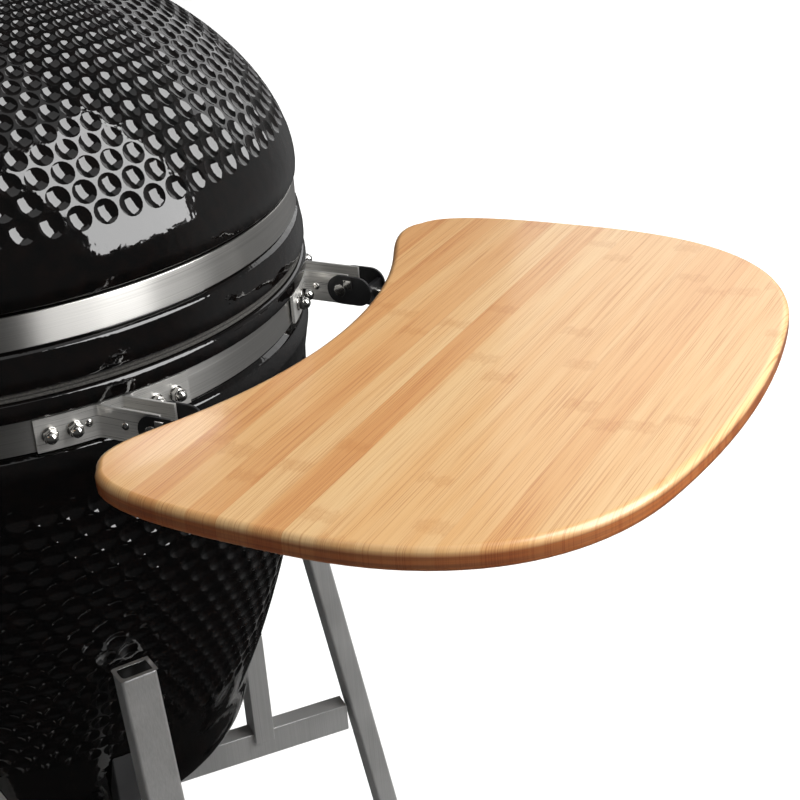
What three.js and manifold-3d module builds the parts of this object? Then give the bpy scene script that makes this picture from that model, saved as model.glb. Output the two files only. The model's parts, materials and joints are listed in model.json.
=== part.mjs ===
// Kamado ceramic grill: a thick ceramic pot and dome on a wheeled stand, with two folding side shelves.
// Millimetres. +Z is up, -Y is the front (lid handle and draft door), +Y the back (lid hinge).

import * as THREE from 'three';
import { mergeVertices } from 'three/addons/utils/BufferGeometryUtils.js';
import Module from 'manifold-3d';

const wasm = await Module();
wasm.setup();

// ---------------------------------------------------------------- driving dimensions

// Clearances
const GAP = 0.4;                  // between pieces that rest on each other
const CURVE_GAP = 1.0;            // between a plate and the round band or shell it lies on
const RUNNING_GAP = 0.5;          // around pins, in slots and between moving cheeks
const SIDES = 40;                 // flats round every large turned piece
const INNER_SIDES = 28;           // flats round the pieces inside the pot

// Ceramic shells. Their heights are measured from the top edge of the lower band.
const WALL = 26;
const RIM_RADIUS = 280;           // widest part of both rims
const BELT_RADIUS = RIM_RADIUS - 7.5;   // just under the lower band's bulge
const TAPER_START = 55;           // below the band's top edge, where the pot starts to narrow
const POT_DEPTH = 445;            // from the lower band's top edge to the flat underside
const TAPER_LENGTH = POT_DEPTH + 210;   // the depth at which the curve of the pot would close
const TAPER_POWER = 1.757;
const FOOT_RADIUS = RIM_RADIUS - 130;
const FOOT_HEIGHT = 52;           // height of the rounded turn into the underside
const JOINT_HEIGHT = 19.2;        // where the two gaskets meet
const GASKET_THICK = 2.8;
const GASKET_WIDTH = 18;
const DOME_SPRING = 92;           // height at which the dome's curve begins
const DOME_RADIUS = RIM_RADIUS - 1;
const DOME_RISE = 192;
const DOME_POWER = 1.75;          // 2 is an ellipse; less draws the dome in towards an egg's point
const NECK_RADIUS = 85;
const NECK_BORE = NECK_RADIUS - 23;
const NECK_TOP = DOME_SPRING + DOME_RISE + 2;
const BAND_SHOULDER = 4;          // run of the bulges beside a band's seat

// Bands
const BAND_THICK = 2;
const LOWER_BAND_HEIGHT = 26.4;
const LOWER_BAND_RADIUS = RIM_RADIUS - 7;
const UPPER_BAND_BOTTOM = 53.4;
const UPPER_BAND_HEIGHT = 24.8;
const UPPER_BAND_RADIUS = RIM_RADIUS - 3.9;

// Inner ceramics and grates
const FIRE_BOX_TOP = -124;
const FIRE_BOX_AIR = 14;          // air space between the fire box and the pot
const FIRE_BOX_WALL = 20;
const FIRE_BOX_FOOT = 18;
const FIRE_RING_HEIGHT = 84;
const CHARCOAL_GRATE_THICK = 6;
const COOKING_GRATE_BAR = 6;
const COOKING_GRATE_BARS = 15;
const GRATE_SLOT = 7;             // width of a slot in the charcoal grate
const GRATE_SLOT_PITCH = 15;
const GRATE_SLOT_END = 22;        // rim left solid beyond the slots
const GRATE_RIB = 10;             // solid rib across the middle
const FIRE_BOX_PORT = 40;         // from the floor's wall in to the edge of the air hole

// Draft door
const DRAFT_WIDTH = 100;
const DRAFT_HEIGHT = 42;
const DRAFT_MARGIN = 14;          // width of the frame round the opening
const DRAFT_REACH = 24;           // how far the frame stands out of the pot
const DRAFT_PLATE = 2;
const DOOR_LAP = 5;               // how far the door covers the frame at each side
const DOOR_KNOB_RADIUS = 8;
const DOOR_KNOB_LENGTH = 8;
const DOOR_STEM_RADIUS = 3;
const DOOR_STEM_LENGTH = 14;

// Hinge
const HINGE_STANDOFF = 45;        // pin axis behind the rim
const HINGE_PIN_RADIUS = 4;
const HINGE_HALF_WIDTH = 48;
const HINGE_PLATE = 4;
const HINGE_EYE = 12;
const HINGE_FLANGE = 26;          // flange beyond each cheek, round the band
const SPRING_RADIUS = 9;

// Lid handle
const HANDLE_STANDOFF = 44;
const HANDLE_DEPTH = 24;
const HANDLE_HEIGHT = 32;
const HANDLE_HALF_ANGLE = 27;
const HANDLE_BRACKET_ANGLE = 15;
const PLATE = 2.5;                // stainless plate used for brackets and flanges

// Thermometer
const GAUGE_HEIGHT = DOME_SPRING + 0.4375 * DOME_RISE;   // on the dome's front
const GAUGE_RADIUS = 30;
const GAUGE_DEPTH = 14;
const GAUGE_STEM_RADIUS = 4;
const GAUGE_STEM_LENGTH = 75;

// Top vent
const VENT_RADIUS = NECK_RADIUS - 3;
const VENT_HEIGHT = 24;
const VENT_PLATE = 4;
const VENT_HOLES = 6;
const VENT_HOLE_RADIUS = 10.5;
const VENT_HOLE_CIRCLE = 44;
const VENT_REST_TURN = 20;        // degrees that the wheel stands away from fully open
const VENT_PIN_RADIUS = 3;
const VENT_PIN_HEAD = 6;
const VENT_PIN_DEPTH = 3;         // how far the hatch's pivot reaches into the base
const VENT_BOLT_RADIUS = 4;
const VENT_GRIP_HALF = 5;         // half the width of the wheel's grip
const VENT_GRIP_REACH = 10;       // past the edge of the base
const VENT_TAB = 6;               // length of the turned-up end of the grip
const VENT_TAB_HEIGHT = 12;
const KNOB_RADIUS = 15;
const KNOB_HEIGHT = 34;

// Stand
const POT_HEIGHT = 355;           // underside of the pot above the floor
const LEG_WIDTH = 30;
const LEG_DEPTH = 20;
const LEG_WALL = 1.5;
const LEG_TOP = 207 - POT_DEPTH;  // from the lower band's top edge
const LEG_SPLAY = 0.155;          // outward run for each unit of fall
const LEG_ANGLE = 41;             // from the side axis
const LEG_POT_GAP = 3;
const CROSS_HEIGHT = 250;
const CROSS_LAP = 10;             // how far an upright is let into its tube
const POST_TUCK = 1.28;           // how far the uprights stand in under the pot's side
const PAD_LIFT = 1.5;             // bottom of the rubber wedges, above the pot at their inner edge
const PAD_BLANK = 60;             // height of a wedge before it is cut to the pot
const CAP_LENGTH = 16;
const CAP_DEPTH = 0.6;            // how far a leg's cap lies below its open end
const LEG_FLOOR = 5;              // closed length at the foot of a leg

// Casters
const WHEEL_RADIUS = 37.5;
const WHEEL_WIDTH = 26;
const AXLE_RADIUS = 4;
const CASTER_TRAIL = 28;
const CASTER_HEIGHT = 2 * WHEEL_RADIUS + 29;
const FORK_PLATE = 3;
const CROWN_RADIUS = 24;
const CROWN_HEIGHT = 10;
const FORK_TOP_HALF = 16;         // half the length of the fork at its crown
const AXLE_EYE = 9;               // fork left round the axle
const BRAKE_SETBACK = 26;         // from the swivel's axis
const BRAKE_HALF_WIDTH = 14;
const BRAKE_LENGTH = 16;
const BRAKE_PLATE = 4;

// Side shelves. Each shelf has its own axis, x away from the pot and y along the board.
const SHELF_FORWARD = 9.5;        // degrees each shelf is set towards the front
const BOARD_THICK = 17;
const BOARD_TOP = 9;
const BOARD_INNER = RIM_RADIUS + 69;    // reach of the scooped inner edge at its middle
const BOARD_OUTER = BOARD_INNER + 316.5;
const BOARD_HALF_WIDTH = 269.5;
const BOARD_HORN = RIM_RADIUS + 15;     // least reach of the two horns
const BOARD_SHOULDER = BOARD_INNER + 112;   // where the straight sides end
const SCOOP_SHIFT = 33;           // centre of the scoop, behind the grill's axis
const SCOOP_ANGLE = 24.6;         // half angle of the scoop about its own centre
const OUTER_ANGLE = 11;           // half angle of the arched outer edge
const CORNER_PULL = 114;          // handles of the curve round the outer corners
const CORNER_LIFT = 86;
const CORNER_IN = 6;
const HORN_PULL = 70;             // handles of the curves round the horns
const HORN_LIFT = 20;
const HORN_DROP = 34;             // from the straight side down to the horn's end
const HORN_NOSE = 7;
const HORN_TUCK = 8;
const ARM_INNER = 126.5;          // centre planes of a bracket's two arms
const ARM_OUTER = ARM_INNER + 18.5;
const ARM_REACH = RIM_RADIUS + 9;
const ARM_DROP = 1;               // top of the arms below the band's top edge
const FOLD_PIN_REACH = ARM_REACH - 6;
const FOLD_PIN_RADIUS = 3;
const YOKE_REACH = FOLD_PIN_REACH + 16;
const YOKE_RADIUS = 12.3;
const YOKE_PLATE = 2;
const WEB_SETBACK = 6;            // from the yoke's far centre to its web
const WEB_THICK = 4;
const WEB_DROP = 7;               // below the rod's axis
const ROD_RADIUS = 4.6;
const ROD_DROP = 4;               // clear space between the rod and the board
const ROD_END = BOARD_INNER + 131;
const SADDLE_HALF_LENGTH = 9;
const SADDLE_HALF_WIDTH = 11;
const SADDLE_INNER = 12;          // from the board's inner edge
const SADDLE_OUTER = 22;          // from the rod's end
const FLANGE_START = 16;          // degrees from the shelf's axis
const FLANGE_END = 41.4;

// ---------------------------------------------------------------- materials

const paint = (color, roughness, metalness) => new THREE.MeshStandardMaterial({ color, roughness, metalness });
const GLAZE = paint(0x0b0b0d, 0.08, 0.0);
const STAINLESS = paint(0xb9b8b5, 0.32, 1.0);
const LEG_STEEL = paint(0x939392, 0.42, 1.0);
const BAMBOO = paint(0xedbb86, 0.3, 0.0);
const FELT = paint(0x3b3a38, 0.95, 0.0);
const FIRE_CLAY = paint(0xb59b7d, 0.9, 0.0);
const CAST_IRON = paint(0x242423, 0.6, 0.6);
const BLACK_STEEL = paint(0x1d1d1e, 0.35, 0.6);
const BLACK_PLASTIC = paint(0x141414, 0.5, 0.0);
const RUBBER = paint(0x222223, 0.8, 0.0);
const SPRING_STEEL = paint(0x8b8c8e, 0.3, 1.0);
const GLASS = new THREE.MeshStandardMaterial({
  color: 0xf2f6f6, roughness: 0.05, metalness: 0, transparent: true, opacity: 0.3,
});
const NEEDLE_RED = paint(0xb3241c, 0.45, 0.0);

// ---------------------------------------------------------------- solids

const radians = (degrees) => degrees * Math.PI / 180;

// Turns a closed three.js geometry into a manifold solid.
function solid(geometry) {
  const bare = new THREE.BufferGeometry();
  bare.setAttribute('position', geometry.getAttribute('position'));
  bare.setIndex(geometry.getIndex());
  const merged = mergeVertices(bare, 1e-4);
  const index = merged.getIndex().array;
  const triangles = [];
  for (let i = 0; i < index.length; i += 3) {
    const [a, b, c] = [index[i], index[i + 1], index[i + 2]];
    if (a !== b && b !== c && c !== a) triangles.push(a, b, c);
  }
  return new wasm.Manifold(new wasm.Mesh({
    numProp: 3,
    vertProperties: new Float32Array(merged.getAttribute('position').array),
    triVerts: new Uint32Array(triangles),
  }));
}

function meshGeometry(body) {
  const mesh = body.getMesh();
  const geometry = new THREE.BufferGeometry();
  geometry.setAttribute('position', new THREE.BufferAttribute(new Float32Array(mesh.vertProperties), 3));
  geometry.setIndex(new THREE.BufferAttribute(new Uint32Array(mesh.triVerts), 1));
  const flat = geometry.toNonIndexed();
  flat.computeVertexNormals();
  return flat;
}

const join = (...bodies) => bodies.reduce((whole, next) => whole.add(next));
const cut = (body, ...tools) => tools.reduce((whole, next) => whole.subtract(next), body);

// Revolves a closed outline of [radius, height] points about Z.
function turned(outline, sides = SIDES) {
  const loop = outline.map(([r, z]) => new THREE.Vector2(Math.max(r, 0), z));
  if (THREE.ShapeUtils.area(loop) < 0) loop.reverse();
  loop.push(loop[0].clone());
  return solid(new THREE.LatheGeometry(loop, sides).rotateX(Math.PI / 2));
}

const ring = (inner, outer, low, high, sides = SIDES) =>
  turned([[inner, low], [outer, low], [outer, high], [inner, high]], sides);

// A box between two corners.
function block([x0, y0, z0], [x1, y1, z1]) {
  const geometry = new THREE.BoxGeometry(x1 - x0, y1 - y0, z1 - z0);
  return solid(geometry.translate((x0 + x1) / 2, (y0 + y1) / 2, (z0 + z1) / 2));
}

// A round bar of the given length, centred on a point along 'x', 'y' or 'z'.
function bar(radius, length, axis, [x, y, z], sides = 10) {
  const geometry = new THREE.CylinderGeometry(radius, radius, length, sides);
  if (axis === 'x') geometry.rotateZ(-Math.PI / 2);
  if (axis === 'z') geometry.rotateX(Math.PI / 2);
  return solid(geometry.translate(x, y, z));
}

// A flat plate: an outline of [u, v] points pushed up from low to high along Z.
function plate(shape, low, high, curveSegments = 8) {
  const geometry = new THREE.ExtrudeGeometry(shape, { depth: high - low, bevelEnabled: false, curveSegments });
  return solid(geometry.translate(0, 0, low));
}

// A cheek standing in the XZ plane between two Y values, from an outline of [x, z].
function cheekXZ(shape, near, far, curveSegments = 8) {
  const geometry = new THREE.ExtrudeGeometry(shape, { depth: far - near, bevelEnabled: false, curveSegments });
  return solid(geometry.rotateX(Math.PI / 2).translate(0, far, 0));
}

// A cheek standing in the YZ plane between two X values, from an outline of [y, z].
function cheekYZ(shape, near, far, curveSegments = 8) {
  const geometry = new THREE.ExtrudeGeometry(shape, { depth: far - near, bevelEnabled: false, curveSegments });
  geometry.rotateX(Math.PI / 2).rotateZ(Math.PI / 2);
  return solid(geometry.translate(near, 0, 0));
}

const polygon = (points) => new THREE.Shape(points.map(([u, v]) => new THREE.Vector2(u, v)));

// Part of a ring between two angles in degrees.
function sector(inner, outer, from, to, low, high, steps = 6) {
  const shape = new THREE.Shape();
  shape.absarc(0, 0, outer, radians(from), radians(to), false);
  shape.absarc(0, 0, inner, radians(to), radians(from), true);
  shape.closePath();
  return plate(shape, low, high, steps);
}

// A long round-ended outline about two centres on one level.
function stadium(from, to, level, radius) {
  const shape = new THREE.Shape();
  shape.absarc(to, level, radius, -Math.PI / 2, Math.PI / 2, false);
  shape.absarc(from, level, radius, Math.PI / 2, 3 * Math.PI / 2, false);
  shape.closePath();
  return shape;
}

// Adds a named mesh to a group.
function put(group, name, body, material) {
  const mesh = new THREE.Mesh(meshGeometry(body), material);
  mesh.name = name;
  group.add(mesh);
  return mesh;
}

function groupAt(parent, x, y, z, turnDegrees = 0) {
  const group = new THREE.Group();
  group.position.set(x, y, z);
  group.rotation.z = radians(turnDegrees);
  parent.add(group);
  return group;
}

// ---------------------------------------------------------------- ceramic outlines

const LOWER_BAND_SEAT = LOWER_BAND_RADIUS - BAND_THICK - GAP;
const UPPER_BAND_SEAT = UPPER_BAND_RADIUS - BAND_THICK - GAP;
const UPPER_BAND_TOP = UPPER_BAND_BOTTOM + UPPER_BAND_HEIGHT;
const POT_RIM = JOINT_HEIGHT - GASKET_THICK - 3 * GAP / 2;
const DOME_RIM = JOINT_HEIGHT + GASKET_THICK + 3 * GAP / 2;
const RIM_ROUND = 3;

// Outside radius of the pot at a height below the belt.
function potRadius(z) {
  const fall = Math.max(-TAPER_START - z, 0);
  return BELT_RADIUS * (1 - (fall / TAPER_LENGTH) ** TAPER_POWER);
}

const FOOT_TOP = -POT_DEPTH + FOOT_HEIGHT;

function potOutside(grow = 0) {
  const outline = [
    [RIM_RADIUS - RIM_ROUND, POT_RIM],
    [RIM_RADIUS, POT_RIM - RIM_ROUND],
    [RIM_RADIUS, GAP + RIM_ROUND],
    [LOWER_BAND_SEAT, GAP],
    [LOWER_BAND_SEAT, -LOWER_BAND_HEIGHT - GAP],
    [BELT_RADIUS + BAND_SHOULDER, -LOWER_BAND_HEIGHT - GAP - BAND_SHOULDER],
    [BELT_RADIUS + BAND_SHOULDER + 0.5, -TAPER_START + 9],
  ];
  const steps = 6;
  for (let i = 0; i <= steps; i += 1) {
    const z = -TAPER_START - 10 + (FOOT_TOP + TAPER_START + 10) * i / steps;
    outline.push([potRadius(z), z]);
  }
  const turn = 3;
  for (let i = 1; i <= turn; i += 1) {
    const angle = Math.PI / 2 * i / turn;
    const r = FOOT_RADIUS + (potRadius(FOOT_TOP) - FOOT_RADIUS) * Math.cos(angle);
    outline.push([r, FOOT_TOP - FOOT_HEIGHT * Math.sin(angle)]);
  }
  return outline.map(([r, z]) => [r + grow, z]);
}

const POT_FLOOR = -POT_DEPTH + WALL;
const potInnerRadius = (z) => potRadius(z) - WALL;

function potSolid() {
  const inside = [[0, POT_FLOOR]];
  const steps = 5;
  for (let i = 0; i <= steps; i += 1) {
    const z = POT_FLOOR + (-TAPER_START - POT_FLOOR) * i / steps;
    inside.push([Math.min(potInnerRadius(z), RIM_RADIUS - WALL), z]);
  }
  inside.push([RIM_RADIUS - WALL, POT_RIM]);
  const outside = potOutside();
  return turned([...outside, [0, -POT_DEPTH], ...inside]);
}

// Points up the egg-shaped dome from the springing to the neck.
function domeCurve(radius, rise, stop, steps) {
  const power = 2 / DOME_POWER;
  const end = Math.acos((stop / radius) ** (1 / power));
  const points = [];
  for (let i = 0; i <= steps; i += 1) {
    const angle = end * i / steps;
    points.push([radius * Math.cos(angle) ** power, DOME_SPRING + rise * Math.sin(angle) ** power]);
  }
  return points;
}

function domeSolid() {
  const outside = [
    [RIM_RADIUS - RIM_ROUND, DOME_RIM],
    [RIM_RADIUS, DOME_RIM + RIM_ROUND],
    [UPPER_BAND_SEAT + BAND_SHOULDER, UPPER_BAND_BOTTOM - GAP - 3],
    [UPPER_BAND_SEAT, UPPER_BAND_BOTTOM - GAP],
    [UPPER_BAND_SEAT, UPPER_BAND_TOP + GAP],
    [DOME_RADIUS - 1.5, UPPER_BAND_TOP + GAP + 3],
    ...domeCurve(DOME_RADIUS, DOME_RISE, NECK_RADIUS, 7),
    [NECK_RADIUS, NECK_TOP],
    [NECK_BORE, NECK_TOP],
  ];
  const inside = domeCurve(DOME_RADIUS - WALL, DOME_RISE - WALL, NECK_BORE, 5).reverse();
  return turned([...outside, ...inside, [RIM_RADIUS - WALL, DOME_RIM]]);
}

// ---------------------------------------------------------------- pot and its insides

const DRAFT_BOTTOM = POT_FLOOR + 2;
const DRAFT_TOP = DRAFT_BOTTOM + DRAFT_HEIGHT;
const DRAFT_FRAME_TOP = DRAFT_TOP + DRAFT_MARGIN;
const DRAFT_FRAME_BOTTOM = DRAFT_BOTTOM - DRAFT_MARGIN / 2;
const DRAFT_FRAME_HALF = DRAFT_WIDTH / 2 + DRAFT_MARGIN;
const DRAFT_FACE = -(potRadius(DRAFT_FRAME_TOP) + DRAFT_REACH);

function draftFrame() {
  const rail = DRAFT_MARGIN / 2;
  const front = DRAFT_FACE;
  const back = -POT_DEPTH / 4;
  const lip = DRAFT_PLATE + 2 * RUNNING_GAP;
  const body = block([-DRAFT_FRAME_HALF, front, DRAFT_FRAME_BOTTOM], [DRAFT_FRAME_HALF, back, DRAFT_FRAME_TOP]);
  const opening = block(
    [-DRAFT_WIDTH / 2, front - 1, DRAFT_BOTTOM],
    [DRAFT_WIDTH / 2, back + 1, DRAFT_TOP],
  );
  const rails = [];
  for (const [low, high, lipLow, lipHigh] of [
    [DRAFT_FRAME_TOP - rail / 2, DRAFT_FRAME_TOP, DRAFT_FRAME_TOP - rail, DRAFT_FRAME_TOP],
    [DRAFT_FRAME_BOTTOM, DRAFT_FRAME_BOTTOM + rail / 4, DRAFT_FRAME_BOTTOM, DRAFT_FRAME_BOTTOM + rail / 2],
  ]) {
    rails.push(block([-DRAFT_FRAME_HALF, front - lip - 1, low], [DRAFT_FRAME_HALF, front + 1, high]));
    rails.push(block([-DRAFT_FRAME_HALF, front - lip - 2, lipLow], [DRAFT_FRAME_HALF, front - lip, lipHigh]));
  }
  return cut(join(body, ...rails), opening, turned([...potOutside(CURVE_GAP), [0, -POT_DEPTH], [0, POT_RIM]]));
}

function draftDoor() {
  const rail = DRAFT_MARGIN / 2;
  const low = DRAFT_FRAME_BOTTOM + rail / 4 + RUNNING_GAP;
  const high = DRAFT_FRAME_TOP - rail / 2 - RUNNING_GAP;
  const half = DRAFT_WIDTH / 2 + DOOR_LAP;
  const near = DRAFT_FACE - RUNNING_GAP - DRAFT_PLATE;
  const middle = (DRAFT_BOTTOM + DRAFT_TOP) / 2;
  return join(
    block([-half, near, low], [half, near + DRAFT_PLATE, high]),
    bar(DOOR_STEM_RADIUS, DOOR_STEM_LENGTH, 'y', [0, near + 1 - DOOR_STEM_LENGTH / 2, middle]),
    bar(DOOR_KNOB_RADIUS, DOOR_KNOB_LENGTH, 'y', [0, near + 3 - DOOR_STEM_LENGTH - DOOR_KNOB_LENGTH / 2, middle], 14),
  );
}

const FIRE_BOX_BOTTOM = POT_FLOOR + GAP;
const FIRE_BOX_FLOOR = FIRE_BOX_BOTTOM + FIRE_BOX_FOOT + FIRE_BOX_WALL * 0.8;
const FIRE_BOX_TOP_RADIUS = potInnerRadius(FIRE_BOX_TOP) - FIRE_BOX_AIR;
const FIRE_BOX_FLOOR_RADIUS = potInnerRadius(FIRE_BOX_BOTTOM) - FIRE_BOX_AIR;

function fireBox() {
  const inner = FIRE_BOX_FLOOR_RADIUS - FIRE_BOX_WALL;
  const bowl = turned([
    [inner - 24, FIRE_BOX_BOTTOM],
    [inner, FIRE_BOX_BOTTOM],
    [FIRE_BOX_FLOOR_RADIUS - 4, FIRE_BOX_BOTTOM + FIRE_BOX_FOOT],
    [FIRE_BOX_TOP_RADIUS, FIRE_BOX_TOP],
    [FIRE_BOX_TOP_RADIUS - FIRE_BOX_WALL, FIRE_BOX_TOP],
    [inner, FIRE_BOX_FLOOR],
    [inner - FIRE_BOX_PORT, FIRE_BOX_FLOOR],
    [inner - FIRE_BOX_PORT, FIRE_BOX_BOTTOM + FIRE_BOX_FOOT],
    [inner - 24, FIRE_BOX_BOTTOM + FIRE_BOX_FOOT],
  ], INNER_SIDES);
  const airway = block(
    [-DRAFT_WIDTH / 2, -FIRE_BOX_TOP_RADIUS, FIRE_BOX_BOTTOM - 1],
    [DRAFT_WIDTH / 2, 0, FIRE_BOX_BOTTOM + FIRE_BOX_FOOT - 2],
  );
  return cut(bowl, airway);
}

const CHARCOAL_RADIUS = FIRE_BOX_FLOOR_RADIUS - FIRE_BOX_WALL - 6;

function charcoalGrate() {
  const low = FIRE_BOX_FLOOR + GAP;
  const high = low + CHARCOAL_GRATE_THICK;
  const disc = turned([[0, low], [CHARCOAL_RADIUS, low], [CHARCOAL_RADIUS, high], [0, high]], INNER_SIDES);
  const rows = Math.floor((CHARCOAL_RADIUS - GRATE_SLOT_END) / 2 / GRATE_SLOT_PITCH) + 1;
  const slots = [];
  for (let row = -rows; row <= rows; row += 1) {
    const y = row * GRATE_SLOT_PITCH;
    const half = Math.sqrt((CHARCOAL_RADIUS - GRATE_SLOT_END) ** 2 - y ** 2);
    for (const [from, to] of [[-half, -GRATE_RIB / 2], [GRATE_RIB / 2, half]]) {
      slots.push(block([from, y - GRATE_SLOT / 2, low - 1], [to, y + GRATE_SLOT / 2, high + 1]));
    }
  }
  return cut(disc, ...slots);
}

const FIRE_RING_BOTTOM = FIRE_BOX_TOP + GAP;
const FIRE_RING_TOP = FIRE_RING_BOTTOM + FIRE_RING_HEIGHT;
const GRATE_RADIUS = FIRE_BOX_TOP_RADIUS - 6;

function cookingGrate() {
  const bottom = FIRE_RING_TOP + GAP;
  const middle = bottom + COOKING_GRATE_BAR / 2;
  const rim = ring(GRATE_RADIUS - COOKING_GRATE_BAR, GRATE_RADIUS, bottom, bottom + COOKING_GRATE_BAR, INNER_SIDES);
  const bars = [];
  const inside = GRATE_RADIUS - COOKING_GRATE_BAR;
  const pitch = 2 * inside / (COOKING_GRATE_BARS + 1);
  for (let i = 1; i <= COOKING_GRATE_BARS; i += 1) {
    const x = -inside + pitch * i;
    const half = Math.sqrt((GRATE_RADIUS - COOKING_GRATE_BAR / 2) ** 2 - x ** 2) - 2;
    bars.push(bar(COOKING_GRATE_BAR * 0.38, 2 * half, 'y', [x, 0, middle], 6));
  }
  return join(rim, ...bars);
}

function addPot(pot) {
  const throat = block([-DRAFT_WIDTH / 2, -RIM_RADIUS, DRAFT_BOTTOM], [DRAFT_WIDTH / 2, -FOOT_RADIUS / 2, DRAFT_TOP]);
  put(pot, 'pot_shell', cut(potSolid(), throat), GLAZE);
  const band = ring(LOWER_BAND_RADIUS - BAND_THICK, LOWER_BAND_RADIUS, -LOWER_BAND_HEIGHT, 0);
  put(pot, 'lower_band', band, STAINLESS);
  const gasketOuter = RIM_RADIUS - RIM_ROUND;
  const gasket = ring(gasketOuter - GASKET_WIDTH, gasketOuter, POT_RIM + GAP, POT_RIM + GAP + GASKET_THICK);
  put(pot, 'pot_gasket', gasket, FELT);
  put(pot, 'fire_box', fireBox(), FIRE_CLAY);
  const fireRing = ring(
    FIRE_BOX_TOP_RADIUS - FIRE_BOX_WALL, FIRE_BOX_TOP_RADIUS, FIRE_RING_BOTTOM, FIRE_RING_TOP, INNER_SIDES,
  );
  put(pot, 'fire_ring', fireRing, FIRE_CLAY);
  put(pot, 'charcoal_grate', charcoalGrate(), CAST_IRON);
  put(pot, 'cooking_grate', cookingGrate(), STAINLESS);
  put(pot, 'draft_frame', draftFrame(), STAINLESS);
  put(pot, 'draft_door', draftDoor(), STAINLESS);
}

// ---------------------------------------------------------------- lid hinge

const HINGE_Y = RIM_RADIUS + HINGE_STANDOFF;
const HINGE_Z = JOINT_HEIGHT;
const LOWER_FLANGE = LOWER_BAND_RADIUS + CURVE_GAP;
const UPPER_FLANGE = UPPER_BAND_RADIUS + CURVE_GAP;
const HINGE_LID_HALF = HINGE_HALF_WIDTH - HINGE_PLATE - 2 * RUNNING_GAP;

// The eye round the pin, with the cheek's far end wrapped round it.
function hingeCheek(root, far) {
  const shape = polygon(root);
  const eye = new THREE.Shape();
  eye.absarc(HINGE_Y, HINGE_Z, HINGE_EYE, 0, 2 * Math.PI, false);
  return join(cheekYZ(shape, far - HINGE_PLATE, far), cheekYZ(eye, far - HINGE_PLATE, far, 14));
}

const hingePinHole = () => bar(HINGE_PIN_RADIUS + RUNNING_GAP, 3 * HINGE_HALF_WIDTH, 'x', [0, HINGE_Y, HINGE_Z]);

function hingeBase() {
  const halfAngle = THREE.MathUtils.radToDeg(Math.asin((HINGE_HALF_WIDTH + HINGE_FLANGE) / LOWER_FLANGE));
  const flange = sector(LOWER_FLANGE, LOWER_FLANGE + PLATE, 90 - halfAngle, 90 + halfAngle, -LOWER_BAND_HEIGHT, 0, 8);
  const start = Math.sqrt((LOWER_FLANGE + PLATE / 2) ** 2 - HINGE_HALF_WIDTH ** 2);
  const root = [
    [start, -LOWER_BAND_HEIGHT], [HINGE_Y + HINGE_EYE * 0.9, HINGE_Z - HINGE_EYE * 0.44],
    [HINGE_Y - HINGE_EYE * 0.3, HINGE_Z + HINGE_EYE * 0.95], [RIM_RADIUS + 6, -1], [start, -1],
  ];
  const body = join(flange, hingeCheek(root, HINGE_HALF_WIDTH), hingeCheek(root, -HINGE_HALF_WIDTH + HINGE_PLATE));
  return cut(body, hingePinHole());
}

function hingeLid() {
  const halfAngle = THREE.MathUtils.radToDeg(Math.asin((HINGE_HALF_WIDTH + HINGE_FLANGE) / UPPER_FLANGE));
  const flange = sector(
    UPPER_FLANGE, UPPER_FLANGE + PLATE, 90 - halfAngle, 90 + halfAngle, UPPER_BAND_BOTTOM, UPPER_BAND_TOP, 8,
  );
  const start = Math.sqrt((UPPER_FLANGE + PLATE / 2) ** 2 - HINGE_LID_HALF ** 2);
  const root = [
    [start, UPPER_BAND_BOTTOM], [RIM_RADIUS + 10, UPPER_BAND_BOTTOM], [HINGE_Y - HINGE_EYE * 0.9, HINGE_Z - 4],
    [HINGE_Y + HINGE_EYE * 0.96, HINGE_Z + 3], [HINGE_Y - 8, UPPER_BAND_TOP - 4], [start, UPPER_BAND_TOP],
  ];
  const body = join(flange, hingeCheek(root, HINGE_LID_HALF), hingeCheek(root, -HINGE_LID_HALF + HINGE_PLATE));
  return cut(body, hingePinHole());
}

function addHinge(pot, lid) {
  put(pot, 'hinge_base', hingeBase(), STAINLESS);
  const pin = join(
    bar(HINGE_PIN_RADIUS, 2 * HINGE_HALF_WIDTH + 14, 'x', [0, HINGE_Y, HINGE_Z]),
    bar(HINGE_PIN_RADIUS + 3, 4, 'x', [HINGE_HALF_WIDTH + RUNNING_GAP + 3, HINGE_Y, HINGE_Z]),
    bar(HINGE_PIN_RADIUS + 3, 4, 'x', [-HINGE_HALF_WIDTH - RUNNING_GAP - 3, HINGE_Y, HINGE_Z]),
  );
  put(pot, 'hinge_pin', pin, STAINLESS);
  const coil = HINGE_LID_HALF - HINGE_PLATE - 4;
  for (const [name, side] of [['hinge_spring_left', -1], ['hinge_spring_right', 1]]) {
    const middle = side * (coil / 2 + 1);
    const sleeve = cut(
      bar(SPRING_RADIUS, coil - 2, 'x', [middle, HINGE_Y, HINGE_Z], 16),
      bar(HINGE_PIN_RADIUS + 2, coil + 4, 'x', [middle, HINGE_Y, HINGE_Z], 16),
    );
    put(pot, name, sleeve, SPRING_STEEL);
  }
  put(lid, 'hinge_lid', hingeLid(), STAINLESS);
}

// ---------------------------------------------------------------- lid

// The point on the dome's front at the thermometer's height, and the slope of the dome there.
const GAUGE_RISE = (GAUGE_HEIGHT - DOME_SPRING) / DOME_RISE;
const GAUGE_OUT = DOME_RADIUS * (1 - GAUGE_RISE ** DOME_POWER) ** (1 / DOME_POWER);
const GAUGE_TILT = Math.atan2(
  GAUGE_RISE ** (DOME_POWER - 1) / DOME_RISE,
  (GAUGE_OUT / DOME_RADIUS) ** (DOME_POWER - 1) / DOME_RADIUS,
);
const GAUGE_SEAT = 4;             // clears the dome's curve under the flat case
const GAUGE_COLD = 130;           // degrees from straight up at which the pointer rests

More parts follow.
